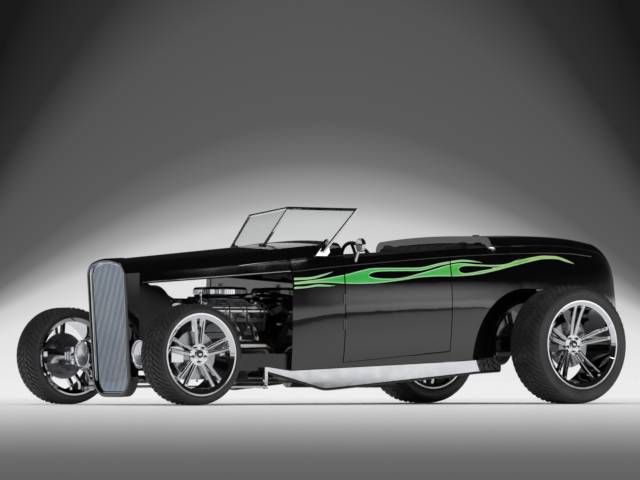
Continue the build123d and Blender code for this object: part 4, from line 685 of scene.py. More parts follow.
@dataclass
class Studio:
    """Camera, floor, background and lamps around the car."""

    # (place, grey) pairs: along the floor away from the camera, and up from the horizon. The floor's greys are
    # painted shade, darker toward the camera.
    FLOOR_PAINTED_SHADE_GREYS = ((0.03, 0.13), (0.07, 0.16), (0.13, 0.28), (0.25, 0.50), (0.40, 0.66), (0.56, 0.74),
                   (0.75, 0.86))
    SEEN_GREYS = ((0.0, 0.83), (0.14, 0.76), (0.205, 0.60), (0.2325, 0.386), (0.2825, 0.165), (0.335, 0.105),
                  (0.50, 0.089), (0.66, 0.030), (1.0, 0.010))
    FELT_GREYS = ((0.0, 0.80), (0.30, 0.50), (0.60, 0.08), (1.0, 0.008))
    # Cards are (name, place, target, size, watts).
    CARDS = (
        ("side_card", (-4.4, 9.0, 1.45), (-0.3, 0.6, 0.55), (11.0, 2.0), 70.0),
        ("wheel_card", (4.6, -2.5, 2.2), (1.5, 0.5, 0.3), (1.2, 0.9), 14.0),
    )
    # Lines are (name, (node, station, height), size, watts).
    LINES = (
        ("hood_line", ("hood_top", 380.0, 800.0), (1.0, 0.035), 3.0),
        ("cowl_line", ("cowl", 1000.0, 880.0), (0.2, 0.03), 0.5),
        ("quarter_line", ("quarter_left", 2300.0, 950.0), (0.2, 0.02), 0.25),
    )
    camera_place: Vector = field(default_factory=lambda: Vector((14.4415, 20.550, 0.1459)))
    camera_view: Vector = field(default_factory=lambda: Vector((-0.570, -0.821, 0.0339)))
    lens_mm: float = 232.2
    sensor_mm: float = 36.0
    far_clip: float = 1500.0
    floor_half: float = 400.0
    floor_reach: float = 20.0
    cool: float = 1.01
    glow_height: float = 0.047
    glow_width: float = 0.0727
    glow_drop: float = 0.6
    glow_fade: float = 0.2
    lamp_reach: float = 6.0

    def build(self, surfaces: Surfaces) -> None:
        """Make the whole studio.

        Args:
            surfaces: Ray casts on the body, for the lamps' mirrored spots.
        """
        self.build_camera()
        self.build_floor()
        self.build_world()
        self.build_lamps(surfaces)

    def build_camera(self) -> None:
        """Place the camera at the photograph's viewpoint."""
        camera = bpy.data.cameras.new("camera")
        camera.lens = self.lens_mm
        camera.sensor_width = self.sensor_mm
        camera.clip_end = self.far_clip
        holder = bpy.data.objects.new("camera", camera)
        holder.location = self.camera_place
        holder.rotation_euler = self.camera_view.to_track_quat("-Z", "Y").to_euler()
        bpy.context.scene.collection.objects.link(holder)
        bpy.context.scene.camera = holder

    def ahead(self) -> Vector:
        """Level direction from the camera to the car."""
        return Vector((self.camera_view.x, self.camera_view.y, 0.0)).normalized()

    def ramp(self, sheet: NodeSheet, source: bpy.types.NodeSocket, stops: Pairs) -> bpy.types.Node:
        """Slightly cool grey ramp over a value from 0 to 1.

        Args:
            sheet: The node sheet.
            source: The value's socket.
            stops: (place, grey) pairs.

        Returns:
            The ramp node.
        """
        node = sheet.add("ShaderNodeValToRGB")
        marks = node.color_ramp.elements
        while len(marks) < len(stops):
            marks.new(0.5)
        for mark, (place, grey) in zip(marks, stops):
            mark.position = place
            mark.color = (grey, grey, grey * self.cool, 1.0)
        sheet.join(source, node.inputs[0])
        return node

    def build_floor(self) -> None:
        """Wide pale floor with a faint gloss, whose colour is painted shade that darkens toward the camera."""
        half = self.floor_half
        mesh = bpy.data.meshes.new("studio_floor")
        corners = [(-half, -half, 0), (half, -half, 0), (half, half, 0), (-half, half, 0)]
        mesh.from_pydata(corners, [], [(0, 1, 2, 3)])
        floor = bpy.data.objects.new("studio_floor", mesh)
        bpy.context.scene.collection.objects.link(floor)
        material = bpy.data.materials.new("studio_floor")
        material.use_nodes = True
        sheet = NodeSheet(material.node_tree)
        sheet.tree.nodes.remove(sheet.tree.nodes["Principled BSDF"])
        place = sheet.add("ShaderNodeTexCoord")
        along = sheet.add("ShaderNodeVectorMath", operation="DOT_PRODUCT")
        along.inputs[1].default_value = self.ahead()
        sheet.join(place.outputs["Object"], along.inputs[0])
        span = sheet.add("ShaderNodeMapRange", From_Min=-self.floor_reach, From_Max=self.floor_reach)
        sheet.join(along.outputs["Value"], span.inputs["Value"])
        # Painted shade: the floor's colour darkens toward the camera in place of the lamps' falloff.
        tone = self.ramp(sheet, span.outputs[0], self.FLOOR_PAINTED_SHADE_GREYS)
        matte = sheet.add("ShaderNodeBsdfDiffuse")
        gloss = sheet.add("ShaderNodeBsdfGlossy", Roughness=0.12)
        mix = sheet.add("ShaderNodeMixShader", Fac=0.10)
        sheet.join(tone.outputs[0], matte.inputs["Color"])
        sheet.join(tone.outputs[0], gloss.inputs["Color"])
        sheet.join(matte.outputs[0], mix.inputs[1])
        sheet.join(gloss.outputs[0], mix.inputs[2])
        sheet.join(mix.outputs[0], sheet.tree.nodes["Material Output"].inputs["Surface"])
        mesh.materials.append(material)

    def build_world(self) -> None:
        """Grey background with a low glow behind the car and dark overhead.

        Camera, glossy and transmission rays see it, and diffuse light comes from a plainer sky.
        """
        world = bpy.data.worlds.new("studio")
        world.use_nodes = True
        bpy.context.scene.world = world
        sheet = NodeSheet(world.node_tree)
        place = sheet.add("ShaderNodeTexCoord")
        parts = sheet.add("ShaderNodeSeparateXYZ")
        aside = sheet.add("ShaderNodeVectorMath", operation="DOT_PRODUCT")
        aside.inputs[1].default_value = self.ahead().cross(UP)
        sheet.join(place.outputs["Generated"], parts.inputs[0])
        sheet.join(place.outputs["Generated"], aside.inputs[0])
        high = sheet.math("MULTIPLY", parts.outputs["Z"], 1.0 / self.glow_height)
        wide = sheet.math("MULTIPLY", aside.outputs["Value"], 1.0 / self.glow_width)
        near = sheet.math("POWER", sheet.math("MULTIPLY", aside.outputs["Value"], 1.0 / self.glow_fade), 2.0)
        fade = sheet.math("POWER", math.e, sheet.math("MULTIPLY", near, -1.0))
        width_part = sheet.math("MULTIPLY", sheet.math("POWER", wide, 2.0), fade)
        narrow = sheet.math("SUBTRACT", 1.0, sheet.math("MULTIPLY", width_part, self.glow_drop))
        share = sheet.math("DIVIDE", sheet.math("MULTIPLY", high, 0.5), sheet.math("MAXIMUM", narrow, 0.35))
        seen = self.ramp(sheet, sheet.math("MULTIPLY", share, 0.5), self.SEEN_GREYS)
        felt = self.ramp(sheet, share, self.FELT_GREYS)
        ceiling = sheet.add("ShaderNodeMapRange", From_Min=0.55, From_Max=1.0, To_Max=0.26)
        sheet.join(parts.outputs["Z"], ceiling.inputs["Value"])
        lit = sheet.add("ShaderNodeMix", data_type="RGBA", blend_type="ADD")
        lit.inputs[0].default_value = 1.0
        sheet.join(felt.outputs[0], lit.inputs[6])
        sheet.join(ceiling.outputs[0], lit.inputs[7])
        light = sheet.add("ShaderNodeLightPath")
        mix = sheet.add("ShaderNodeMix", data_type="RGBA")
        clear = sheet.math("MAXIMUM", light.outputs["Is Camera Ray"], light.outputs["Is Transmission Ray"])
        clear = sheet.math("MAXIMUM", clear, light.outputs["Is Glossy Ray"])
        sheet.join(clear, mix.inputs[0])
        sheet.join(lit.outputs[2], mix.inputs[6])
        sheet.join(seen.outputs[0], mix.inputs[7])
        sheet.join(mix.outputs[2], sheet.tree.nodes["Background"].inputs["Color"])

    def build_lamps(self, surfaces: Surfaces) -> None:
        """Soft light from above, ahead and behind, with soft cards and narrow strips for the highlights.

        Args:
            surfaces: Ray casts on the body.
        """
        suns = (
            ("overhead", Vector((0.0, 0.0, -1.0)), 2.1, 110.0),
            ("front_fill", self.ahead() + Vector((0.0, 0.0, -0.45)), 1.5, 70.0),
            ("rear_fill", Vector((1.0, 0.6, -0.7)), 0.5, 70.0),
        )
        for name, direction, strength, spread in suns:
            self.sun(name, direction.normalized(), strength, spread)
        for name, place, target, size, power in self.CARDS:
            self.softbox(name, Vector(place), Vector(target), size, power)
        for name, spot, size, power in self.LINES:
            self.highlight(surfaces, name, spot, size, power)

    def highlight(self, surfaces: Surfaces, name: str, spot: tuple[str, float, float],
                  size: tuple[float, float], power: float) -> None:
        """Lamp that the camera sees mirrored at one spot of the body's left side.

        Args:
            surfaces: Ray casts on the body.
            name: The lamp's name.
            spot: The node, and the station and height on it in millimetres.
            size: The lamp's length and width.
            power: Its power in watts.
        """
        node, station, z = spot
        place, normal, _, _ = surfaces.tree(node).ray_cast(at(station, BESIDE, z), -ACROSS)
        if place is None:
            LOG.warning("%s finds no surface", name)
            return
        away = self.camera_view.normalized().reflect(normal)
        self.softbox(name, place + away * self.lamp_reach, place, size, power)

    @staticmethod
    def sun(name: str, direction: Vector, strength: float, spread: float) -> None:
        """Even light from one direction that polished surfaces don't mirror.

        Args:
            name: The lamp's name.
            direction: Where the light travels.
            strength: Light on a surface that faces it.
            spread: Angular size in degrees.
        """
        lamp = bpy.data.lights.new(name, "SUN")
        lamp.energy = strength
        lamp.angle = math.radians(spread)
        holder = bpy.data.objects.new(name, lamp)
        holder.rotation_euler = direction.to_track_quat("-Z", "Y").to_euler()
        holder.visible_glossy = False
        bpy.context.scene.collection.objects.link(holder)

    @staticmethod
    def softbox(name: str, place: Vector, target: Vector, size: tuple[float, float], power: float) -> None:
        """Rectangular lamp that shows as a highlight.

        Args:
            name: The lamp's name.
            place: Its place.
            target: The point that it faces.
            size: Its width and height.
            power: Its power in watts.
        """
        lamp = bpy.data.lights.new(name, "AREA")
        lamp.shape = "RECTANGLE"
        lamp.size, lamp.size_y = size
        lamp.energy = power
        holder = bpy.data.objects.new(name, lamp)
        holder.location = place
        aim = (target - place).normalized()
        level = (FORWARD - aim * FORWARD.dot(aim)).normalized()
        turned = Matrix((level, level.cross(aim), -aim)).transposed()
        holder.rotation_euler = turned.to_euler()
        holder.visible_camera = False
        holder.visible_diffuse = False
        Studio.soften(lamp)
        bpy.context.scene.collection.objects.link(holder)

    @staticmethod
    def soften(lamp: bpy.types.Light) -> None:
        """Fade a rectangular lamp toward its edges."""
        lamp.use_nodes = True
        sheet = NodeSheet(lamp.node_tree)
        place = sheet.add("ShaderNodeNewGeometry")
        parts = sheet.add("ShaderNodeSeparateXYZ")
        sheet.join(place.outputs["Parametric"], parts.inputs[0])
        fades = []
        for axis in ("X", "Y"):
            rest = sheet.math("SUBTRACT", 1.0, parts.outputs[axis])
            fades.append(sheet.math("MULTIPLY", sheet.math("MULTIPLY", parts.outputs[axis], rest), 4.0))
        strength = sheet.math("POWER", sheet.math("MULTIPLY", *fades), 1.5)
        sheet.join(strength, lamp.node_tree.nodes["Emission"].inputs["Strength"])


class FrameDresser:
    """Finishes for the frame's own nodes."""

    BY_SLOT = {
        "black_paint": "gloss_black_paint",
        "chrome": "bright_chrome",
        "black_steel": "satin_black_steel",
        "aluminium": "polished_aluminium",
        "engine_paint": "engine_enamel",
        "bare_steel": "brushed_steel",
        "tyre": "sidewall_rubber",
        "leather": "black_hide",
        "clear_glass": "clear_glass",
        "red_lens": "ruby_lens",
    }
    BY_NODE = {
        "headers": "heat_stained_steel",
        "exhaust": "heat_stained_steel",
        "knuckle_left": "bright_chrome",
        "knuckle_right": "bright_chrome",
        "tie_rod": "bright_chrome",
        "frame": "gloss_black_steel",
        "rear_axle": "gloss_black_steel",
        "fuel_tank": "gloss_black_steel",
        "radiator": "core_fins",
        "driveline": "cast_aluminium",
        "floor": "wool_carpet",
        "headlamp_lenses": "fluted_lens_glass",
        "grille": "blue_grille_steel",
        "valve_covers": "polished_aluminium",
    }

    def dress(self, palette: Palette) -> None:
        """Give every node its finish.

        Args:
            palette: The finishes.
        """
        for part in frame["record"]["subparts"]:
            node = frame["nodes"][part["node"]]
            finish = self.BY_NODE.get(part["node"], self.BY_SLOT[part["material_slot"]])
            node.data.materials.clear()
            node.data.materials.append(palette.materials[finish])


@dataclass
class Tyre:
    """A road tyre with swept tread blocks, shoulder blocks and a ringed sidewall."""

    end: str
    side: str
    pitches: int
    sweep_reach: float = 0.62
    groove: float = 0.0065
    cut: float = 0.0055
    tread_share: float = 0.83
    round_drop: float = 0.011
    shoulder: float = 0.015
    tread_inset: float = 0.0005
    wall_inset: float = 0.001
    sharp: float = 28.0
    centre: Vector = field(init=False)
    radius: float = field(init=False)
    half: float = field(init=False)
    lip: float = field(init=False)

    def build(self, palette: Palette) -> None:
        """Make the tread and the sidewalls, which stand for the node.

        Args:
            palette: The finishes.
        """
        node = f"tyre_{self.end}_{self.side}"
        low, high = box_of(node)
        self.centre = (low + high) / 2
        self.radius = (high.z - low.z) / 2 - self.tread_inset
        self.half = (high.y - low.y) / 2 - self.wall_inset
        name = f"{self.end}_{self.side}"
        body = f"wheel_{name}"
        rim_low, rim_high = box_of(body)
        self.lip = (rim_high.z - rim_low.z) / 2
        blocks = self.draft(self.tread_columns(), True)
        tread = blocks.build(f"tread_{name}", palette, "tread_rubber", body, self.sharp)
        walls = MeshDraft()
        for way in (-1.0, 1.0):
            columns = [(way * across, radius, 0.0) for across, radius in self.wall_points()]
            part = self.draft(columns, False)
            base = len(walls.points)
            walls.points.extend(part.points)
            walls.faces.extend(tuple(base + index for index in face) for face in part.faces)
        wall = walls.build(f"sidewalls_{name}", palette, "sidewall_rubber", body, self.sharp)
        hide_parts(node)
        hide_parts(node)

    def tread_columns(self) -> list[tuple[float, float, float]]:
        """Columns across the tread as (place across, radius, depth of the swept cuts)."""
        edge = self.half * self.tread_share
        top, cut = self.radius, self.cut
        floor = top - self.groove
        half = [(0.0, floor, 0.0), (0.035, floor, 0.0), (0.045, top, cut), (0.20, top, cut), (0.36, top, cut),
                (0.375, floor, 0.0), (0.45, floor, 0.0), (0.465, top, cut), (0.62, top, cut),
                (0.80, top - 0.001, cut), (0.93, top - 0.0035, cut), (1.0, top - 0.007, cut * 0.8)]
        right = [(share * edge, radius, depth) for share, radius, depth in half]
        right.append((lerp(edge, self.half, 0.55), top - self.round_drop - 0.006, cut * 0.6))
        right.append((self.half - 0.002, top - self.round_drop - self.shoulder, 0.0))
        return [(-across, radius, depth) for across, radius, depth in reversed(right[1:])] + right

    def wall_points(self) -> list[tuple[float, float]]:
        """Sidewall from the shoulder to the bead, with two raised rings."""
        top, foot = self.radius - self.round_drop - self.shoulder, self.lip - 0.004
        # (share of the way down, inset from the widest point)
        bulge = ((0.0, 0.002), (0.10, 0.0008), (0.12, 0.0018), (0.20, 0.0002), (0.22, 0.0), (0.42, 0.0),
                 (0.62, 0.002), (0.64, 0.0009), (0.70, 0.0012), (0.72, 0.0026), (0.84, 0.0045),
                 (0.92, 0.0085), (1.0, 0.0125))
        return [(self.half - inset, lerp(top, foot, share)) for share, inset in bulge]

    def draft(self, columns: Sequence[tuple[float, float, float]], cut: bool) -> MeshDraft:
        """Turn columns about the axle, with swept cuts that run outward along a V.

        Args:
            columns: (place across, radius, depth of the cuts) for each column.
            cut: Whether the surface has the swept cuts.

        Returns:
            The mesh draft.
        """
        marks = (0.0, 0.66, 0.70, 0.95) if cut else (0.0, 0.5)
        sunk = (False, False, True, True) if cut else (False, False)
        edge = self.half * self.tread_share
        rows = []
        for pitch in range(self.pitches):
            for mark, low in zip(marks, sunk):
                row = []
                for across, radius, depth in columns:
                    sweep = min(abs(across) / edge, 1.1) ** 1.25 * self.sweep_reach * edge / self.radius
                    turn = 2 * math.pi * (pitch + mark) / self.pitches + (sweep if cut else 0.0)
                    reach = radius - (depth if low else 0.0)
                    row.append(self.centre + Vector((reach * math.sin(turn), across, reach * math.cos(turn))))
                rows.append(row)
        draft = MeshDraft()
        draft.rings(rows, around=False, along=True)
        return draft


@dataclass
class WheelTrim:
    """Spoke ridges, lug nuts, lip ring, valve stem and plain centre disc of one wheel."""

    DISC = ((0.0004, 0.0235), (0.0022, 0.0225), (0.0022, 0.019), (0.0012, 0.018), (0.0012, 0.0))
    DOME = ((0.001, 0.0125), (0.004, 0.0115), (0.0055, 0.006), (0.006, 0.0))
    STEM = ((0.0, 0.0), (0.010, -0.006), (0.022, -0.012))
    end: str
    side: str
    spokes: int = 5
    rib_hub: float = 13.0 * MM
    rib_rim: float = 34.0 * MM
    rib_start: float = 64.0 * MM
    rib_end_gap: float = 44.0 * MM
    rib_radius: float = 7.2 * MM
    hub_radius: float = 42.0 * MM
    nut_circle: float = 44.0 * MM
    nut_size: float = 8.5 * MM

    def build(self, palette: Palette, surfaces: Surfaces) -> None:
        """Make the trim on the wheel's outer face.

        Args:
            palette: The finishes.
            surfaces: Ray casts on the wheel.
        """
        node = f"wheel_{self.end}_{self.side}"
        way = 1.0 if self.side == "left" else -1.0
        low, high = box_of(node)
        hub, lip = (low + high) / 2, (high.z - low.z) / 2
        outer = (high.y if way > 0 else low.y)
        bright, dark = MeshDraft(), MeshDraft()

        def on_face(radius: float, turn: float, lift: float) -> Vector | None:
            """Point of the wheel's face at a radius and a turn."""
            away = Vector((radius * math.sin(turn), 0.0, radius * math.cos(turn)))
            start = Vector((hub.x, outer + way * 0.3, hub.z)) + away
            return surfaces.hit(node, start, ACROSS * -way, lift)

        for middle in full_turn(self.spokes):
            for rib in (-1.0, 1.0):
                path = []
                for step in range(13):
                    radius = lerp(self.rib_start, lip - self.rib_end_gap, step / 12)
                    out = (radius - self.hub_radius) / (lip - self.hub_radius)
                    spread = lerp(self.rib_hub, self.rib_rim, out)
                    point = on_face(radius, middle + rib * math.atan2(spread, radius), -0.0015)
                    if point is not None and (not path or abs(point.y - path[-1].y) < 0.03):
                        path.append(point)
                if len(path) > 3:
                    bright.sweep(path, self.rib_radius, 12)
            turn = middle + math.pi / self.spokes
            seat = on_face(self.nut_circle, turn, 0.0)
            if seat is not None:
                place = placed(seat, ACROSS * way)
                size = self.nut_size
                bright.lathe(place, ((0.0, size * 1.25), (0.003, size * 1.2), (0.004, size)), 24)
                bright.lathe(place, ((0.003, size), (0.016, size), (0.020, size * 0.7), (0.021, 0.0)), 6)
        ring = placed(Vector((hub.x, outer - way * 0.004, hub.z)), ACROSS * way)
        bright.lathe(ring, ((-0.001, lip - 0.0125), (0.0025, lip - 0.0105), (0.0035, lip - 0.006),
                            (0.001, lip - 0.001)), 96)
        cap = on_face(0.004, 0.0, 0.0)
        if cap is not None:
            place = placed(cap, ACROSS * way)
            dark.lathe(place, self.DISC, 40)
            bright.lathe(place, self.DOME, 32)
        stem = Vector((hub.x, outer - way * 0.030, hub.z + lip - 0.030))
        bright.sweep([stem + Vector((0.0, way * out, down)) for out, down in self.STEM], 0.004, 12)
        bright.build(f"wheel_trim_{self.end}_{self.side}", palette, "bright_chrome", node)
        dark.build(f"hub_badge_{self.end}_{self.side}", palette, "gloss_black_steel", node)


@dataclass
class FlamePaint:
    """Traditional airbrushed flames along both sides, one piece for each panel."""

    EDGES = (1.0, 0.75, 0.1, 0.0, 0.1, 0.75, 1.0)
    step: float = 9.0
    border: float = 4.0
    lift: float = 0.0005
    panels: tuple[tuple[str, float, float], ...] = (("cowl", 868.0, 1176.0), ("door", 1184.0, 1901.0),
                                                   ("quarter", 1909.0, 2930.0))
    # Each lick's rows are (station, lower edge, upper edge) in millimetres.
    licks: tuple[tuple[tuple[float, float, float], ...], ...] = (
        ((871, 709, 721), (1043, 722, 744), (1193, 717, 772), (1267, 717, 790), (1335, 719, 806)),
        ((1335, 764, 806), (1346, 777, 808), (1403, 791, 812), (1580, 797, 815), (1700, 802, 820),
         (1830, 833, 847), (1975, 857, 868), (2053, 858, 868), (2143, 855, 856)),
        ((1335, 719, 764), (1376, 721, 753), (1458, 729, 749), (1560, 742, 755), (1684, 760, 783),
         (1809, 768, 815), (1890, 769, 836), (1960, 771, 847)),
        ((1960, 810, 847), (1970, 822, 848), (2014, 833, 848), (2092, 834, 843), (2247, 834, 842),
         (2340, 846, 852), (2448, 883, 884)),
        ((1960, 771, 810), (1975, 772, 794), (2014, 774, 788), (2130, 787, 805), (2232, 806, 822),
         (2428, 847, 872), (2612, 883, 904), (2697, 888, 906), (2765, 887, 903), (2833, 873, 888),
         (2907, 861, 862)),
        ((871, 735, 747), (976, 742, 754), (1056, 764, 773), (1109, 786, 787)),
        ((871, 683, 694), (939, 689, 698), (1010, 699, 710), (1062, 699, 708), (1117, 703, 704)),
    )

    def build(self, palette: Palette, surfaces: Surfaces) -> None:
        """Lay the flames on the cowl, doors and quarters of both sides.

        Args:
            palette: The finishes.
            surfaces: Ray casts on the panels.
        """
        for side, way in SIDES:
            for panel, fore, aft in self.panels:
                node, body = panel_names(panel, side)
                draft = MeshDraft()
                marks: list[tuple[float, float]] = []
                for lick in self.licks:
                    self.lay(draft, marks, surfaces, lick, node, way, (fore, aft))
                piece = draft.build(f"flames_{panel}_{side}", palette, "flame_paint", body)
                for name, column in (("edge", 0), ("tip", 1)):
                    values = piece.data.attributes.new(name, "FLOAT", "POINT")
                    values.data.foreach_set("value", [mark[column] for mark in marks])

    def lay(self, draft: MeshDraft, marks: list[tuple[float, float]], surfaces: Surfaces,
            lick: Sequence[Triple], node: str, way: float, span: tuple[float, float]) -> None:
        """Lay the stretch of one lick that falls on a panel.

        Args:
            draft: The piece's mesh.
            marks: Edge and tip values of the points so far.
            surfaces: Ray casts on the panel.
            lick: The lick's rows.
            node: The panel's node.
            way: 1 on the left, -1 on the right.
            span: The panel's first and last station.
        """
        fore, aft = max(lick[0][0], span[0]), min(lick[-1][0], span[1])
        if aft - fore < self.step:
            return
        count = int((aft - fore) / self.step) + 1
        rows = []
        for index in range(count + 1):
            station = lerp(fore, aft, (index / count) ** 1.15)
            low, high = smooth_row(lick, station)
            border = min(self.border, 0.3 * (high - low))
            soft = 1.6 * border
            heights = (low, low + border, low + soft, (low + high) / 2, high - soft, high - border, high)
            row = [surfaces.from_side(node, station, z, way, self.lift) for z in heights]
            if None in row:
                continue
            rows.append(row)
            # Yellow comes in toward the rear and at the very front, most where a lick is narrow.
            tip = max(0.0, (station - 1700.0) / 1100.0, 0.55 - (station - 871.0) / 420.0)
            tip = min(1.0, tip * (1.2 if high - low < 24.0 else 0.5))
            marks.extend((edge, tip) for edge in self.EDGES)
        if len(rows) > 1:
            draft.rings(rows, around=False)
        elif rows:
            del marks[-len(self.EDGES):]


@dataclass
class BodyTrim:
    """Belt bead, hood moulding, rail bead, door seals, grille band, lamp bezels and mirror glass."""

    PANELS = (("cowl", 866.0, 1176.0), ("door", 1184.0, 1901.0), ("quarter", 1909.0, 3080.0))
    # (station, height) pairs in millimetres.
    belt: Pairs = ((866, 786), (1180, 823), (1905, 887), (2450, 917), (2850, 925), (3080, 912))
    bead: float = 0.0035
    strip: float = 0.0085
    shell_lean: float = 3.4

    def build(self, palette: Palette, surfaces: Surfaces) -> None:
        """Make all the trim.

        Args:
            palette: The finishes.
            surfaces: Ray casts on the panels.
        """
        self.build_belt(palette, surfaces)
        self.build_hood_strip(palette, surfaces)
        self.build_rail_bead(palette, surfaces)
        self.build_grille_band(palette)
        self.build_seals(palette, surfaces)
        self.build_lamps(palette)
        self.build_mirror(palette)

    def build_belt(self, palette: Palette, surfaces: Surfaces) -> None:
        """Raised bead along the belt of the cowl, doors and quarters."""
        for side, way in SIDES:
            for panel, fore, aft in self.PANELS:
                node, body = panel_names(panel, side)
                path = []
                for index in range(41):
                    station = lerp(fore, aft, index / 40)
                    spot = surfaces.from_side(node, station, smooth_row(self.belt, station)[0], way)
                    if spot is not None:
                        path.append(spot)
                draft = MeshDraft()
                draft.sweep(path, self.bead, 10)
                draft.build(f"belt_bead_{panel}_{side}", palette, "gloss_black_paint", body)

    def build_hood_strip(self, palette: Palette, surfaces: Surfaces) -> None:
        """Bright moulding along the hood's lower edges."""
        draft = MeshDraft()
        for _, way in SIDES:
            path = []
            for index in range(31):
                share = index / 30
                station, z = lerp(-36.0, 850.0, share), lerp(716.0, 789.0, share)
                spot = surfaces.from_side("hood_top", station, z, way)
                if spot is not None:
                    path.append(spot)
            draft.sweep(path, self.strip, 14, flat=0.55)
        draft.build("hood_moulding", palette, "bright_chrome", "hood")

    def build_rail_bead(self, palette: Palette, surfaces: Surfaces) -> None:
        """Dark tube along the lower edge of the bright rail covers."""
        draft = MeshDraft()
        for _, way in SIDES:
            path = []
            for index in range(61):
                station = lerp(730.0, 2300.0, index / 60)
                side = surfaces.from_side("rail_covers", station, 192.0 if station < 1200.0 else 205.0, way)
                if side is None:
                    continue
                start = Vector((side.x, side.y - way * 0.004, 0.0))
                low = surfaces.hit("rail_covers", start, UP)
                if low is not None:
                    path.append(low + Vector((0.0, 0.0, 0.002)))
            draft.sweep(path, 0.0085, 12)
        draft.build("rail_bead", palette, "gloss_black_steel", CHASSIS)

    def build_seals(self, palette: Palette, surfaces: Surfaces) -> None:
        """Rubber seals set in the door seams."""
        draft = MeshDraft()
        for side, way in SIDES:
            for node, probe, station in (("cowl", 1172.0, 1178.2), (f"quarter_{side}", 1913.0, 1906.8)):
                path = []
                for index in range(25):
                    spot = surfaces.from_side(node, probe, lerp(285.0, 800.0, index / 24), way)
                    if spot is not None:
                        path.append(at(station, spot.y / MM - way * 9.0, spot.z / MM))
                draft.sweep(path, 0.0016, 8)
        draft.build("door_seals", palette, "moulded_black", CHASSIS)

    def build_grille_band(self, palette: Palette) -> None:
        """Bright band around the grille, just inside the shell's opening."""
        low, high = box_of("grille")
        lean = math.tan(math.radians(self.shell_lean))
        foot_x = high.x - lean * (high.z - low.z)
        inset, corner = 0.006, 0.070
        half, top, foot = high.y - inset, high.z - inset, low.z + inset
        path = []
        corners = ((half, top, 0.0), (-half, top, 90.0), (-half, foot, 180.0), (half, foot, 270.0))
        for y, z, start in corners:
            centre_y = y - math.copysign(corner, y)
            centre_z = z - corner if start < 180.0 else z + corner
            for step in range(9):
                turn = math.radians(start + 90.0 * step / 8)
                point_z = centre_z + corner * math.sin(turn)
                x = foot_x + lean * (point_z - low.z) + 0.001
                path.append(Vector((x, centre_y + corner * math.cos(turn), point_z)))
        draft = MeshDraft()
        draft.sweep(path, 0.0075, 12, closed=True)
        draft.build("grille_band", palette, "bright_chrome", CHASSIS)

    def build_lamps(self, palette: Palette) -> None:
        """Bezels and reflector rings of the headlamps, and bezels and lens rings of the tail lamps."""
        bright, ruby = MeshDraft(), MeshDraft()
        low, high = box_of("headlamp_lenses")
        radius = (high.z - low.z) / 2
        middle_z = (high.z + low.z) / 2
        for _, way in SIDES:
            lens = Vector((low.x, way * (high.y - radius), middle_z))
            place = placed(lens + Vector((0.0004, 0.0, 0.0)), FORWARD)
            steps = [(0.0012 * (index % 2), lerp(radius * 0.96, 0.012, index / 10)) for index in range(11)]
            bright.lathe(place, steps, 28)
            front = placed(lens + Vector((0.0137, 0.0, 0.0)), FORWARD)
            bright.lathe(front, ((-0.003, radius + 0.0085), (0.002, radius + 0.008), (0.004, radius + 0.004),
                                 (0.003, radius + 0.0006), (-0.001, radius + 0.0004)), 64)
        tail_low, tail_high = box_of("tail_lamps")
        lamp = (tail_high.z - tail_low.z) / 2
        for _, way in SIDES:
            centre = Vector((tail_low.x, way * (tail_high.y - lamp), (tail_low.z + tail_high.z) / 2))
            place = placed(centre, FORWARD * -1.0)
            bright.lathe(place, ((-0.030, lamp + 0.001), (-0.030, lamp + 0.007), (-0.016, lamp + 0.0065),
                                 (-0.011, lamp + 0.003), (-0.012, lamp + 0.0006)), 56)
            for ring in (0.3, 0.55, 0.8):
                reach = lamp * ring
                sink = -0.0008 if ring < 0.7 else -0.0035
                ruby.lathe(place, ((sink, reach - 0.002), (sink + 0.0016, reach), (sink, reach + 0.002)), 48)
        bright.build("lamp_bezels", palette, "bright_chrome", CHASSIS)
        ruby.build("tail_lens_rings", palette, "ruby_lens", CHASSIS)

    def build_mirror(self, palette: Palette) -> None:
        """Silvered glass in a bright rim on the mirror's rear face."""
        low, high = box_of("door_mirror")
        radius = 0.040
        face = Vector((low.x, high.y - radius, high.z - radius))
        place = placed(face, FORWARD * -1.0)
        glass, rim = MeshDraft(), MeshDraft()
        glass.lathe(place, ((0.0004, radius - 0.004), (0.0016, radius * 0.6), (0.002, 0.0)), 48)
        rim.lathe(place, ((-0.004, radius + 0.0006), (0.001, radius + 0.0006), (0.003, radius - 0.002),
                          (0.0008, radius - 0.0045)), 48)
        glass.build("mirror_glass", palette, "silvered_glass", "door_left")
        rim.build("mirror_rim", palette, "bright_chrome", "door_left")


